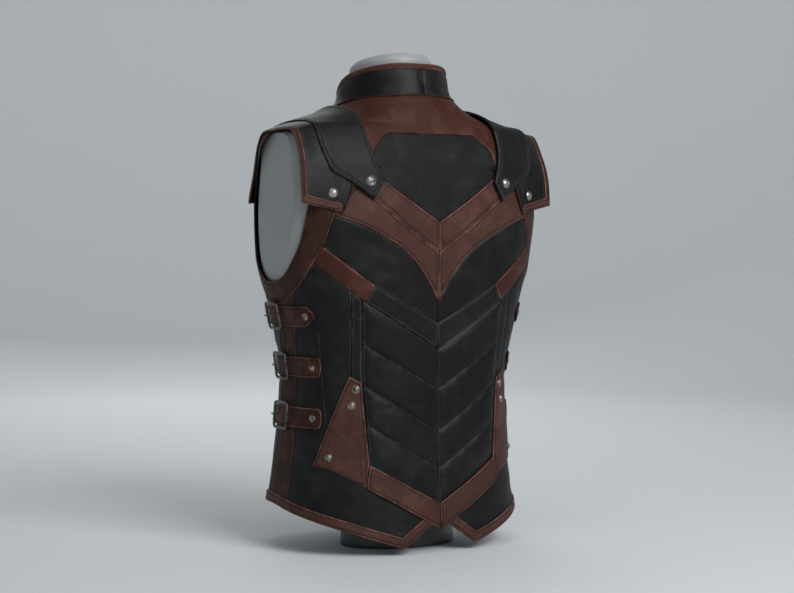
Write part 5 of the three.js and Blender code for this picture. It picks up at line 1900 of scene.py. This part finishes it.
class VestColours(bpy.types.PropertyGroup):
    """Colours of the vest's leather and its form"""
    black: colour("Black leather", "Dyed black panels", (0.0052, 0.0052, 0.0054))
    worn_black: colour("Rubbed black", "Black leather where it is rubbed", (0.045, 0.045, 0.046))
    brown: colour("Brown leather", "Brown of the facings and side stripes", (0.036, 0.0125, 0.0072))
    red_brown: colour("Red-brown leather", "Brown of the yoke, bands and straps", (0.047, 0.0118, 0.0066))
    mauve_brown: colour(
        "Mauve-brown leather", "Brown of the chevrons, gussets and bindings", (0.066, 0.0265, 0.0195))
    tan: colour("Rubbed brown", "Brown leather where it is rubbed", (0.165, 0.072, 0.052))
    form: colour("Dress form", "Satin grey of the form", (0.33, 0.345, 0.35))
    # The base's dark grey is a likely colour for it and is also painted shade, so that it merges with the shadow under
    # the vest.
    foot: colour("Form's base", "Dark grey of the base", (0.05, 0.05, 0.05))
    floor: colour("Floor", "Pale studio floor", (0.69, 0.72, 0.74))


class VestStage(bpy.types.PropertyGroup):
    """Camera and light"""
    lens: amount("Lens", "Focal length in millimetres", 86.65, least=1)
    distance: length("Camera distance", "From the camera to the middle of the vest", 2.580)
    brightness: amount("Brightness", "Strength of all the lamps", 1.0)
    surround: colour("Surround", "Colour of the light from all round", (0.90, 0.95, 1.0))
    surround_strength: amount("Surround strength", "Light from all round", 0.07)


def maker(identifier, label, description, job):
    """An operator that makes one group of pieces."""
    def execute(self, context):
        job()
        return {"FINISHED"}
    members = {
        "bl_idname": f"vest.{identifier}", "bl_label": label, "__doc__": description, "execute": execute,
        "bl_options": {"REGISTER", "UNDO"},
    }
    return type(f"VEST_OT_{identifier}", (bpy.types.Operator,), members)


OPERATORS = (
    maker("stage", "Stage", "Make the floor, the lamps and the camera", make_stage),
    maker("form", "Dress form", "Make the dress form", make_form),
    maker("base", "Form's base", "Make the base that the form stands on", make_foot),
    maker("panels", "Panels", "Make the panels of the back, sides and front", make_panels),
    maker("overlays", "Hem and gussets", "Make the gussets, hem chevrons and hem bindings", make_overlays),
    maker("side_straps", "Side straps", "Make the side straps and their buckles", make_side_straps),
    maker("shoulders", "Shoulders", "Make the shoulder caps, bindings, straps and snaps", make_shoulders),
    maker("collar", "Collar", "Make the standing collar and its binding", make_collar),
    maker("stitches", "Stitches", "Make the stitches of all the pieces", make_stitches),
)


class VEST_PT_parts(bpy.types.Panel):
    """Lists the vest's sizes, colours and pieces"""
    bl_idname = "VEST_PT_parts"
    bl_label = "Leather vest"
    bl_space_type = "VIEW_3D"
    bl_region_type = "UI"
    bl_category = "Vest"

    def draw(self, context):
        for group in (context.scene.vest_sizes, context.scene.vest_colours, context.scene.vest_stage):
            box = self.layout.box()
            for key in group.bl_rna.properties.keys():
                if key not in {"rna_type", "name"}:
                    box.prop(group, key)
        for operator in OPERATORS:
            self.layout.operator(operator.bl_idname)


GROUPS = {"vest_sizes": VestSizes, "vest_colours": VestColours, "vest_stage": VestStage}


def register():
    for group in GROUPS.values():
        bpy.utils.register_class(group)
    for key, group in GROUPS.items():
        setattr(bpy.types.Scene, key, PointerProperty(type=group))
    for operator in (*OPERATORS, VEST_PT_parts):
        bpy.utils.register_class(operator)


def unregister():
    for operator in reversed((*OPERATORS, VEST_PT_parts)):
        bpy.utils.unregister_class(operator)
    for key in GROUPS:
        delattr(bpy.types.Scene, key)
    for group in reversed(tuple(GROUPS.values())):
        bpy.utils.unregister_class(group)


def main():
    register()
    for operator in OPERATORS:
        call = getattr(bpy.ops.vest, operator.bl_idname.split(".")[1])
        if call() != {"FINISHED"}:
            raise RuntimeError(f"{operator.bl_label} was not made")
    bpy.context.view_layer.update()
    sizes = {
        "cad": [list(corner) for corner in CAD_BOX],
        "visual": [list(corner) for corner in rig.bounds()],
    }
    with open(SIZE_FILE, "w") as out:
        json.dump(sizes, out)


if __name__ == "__main__":
    main()
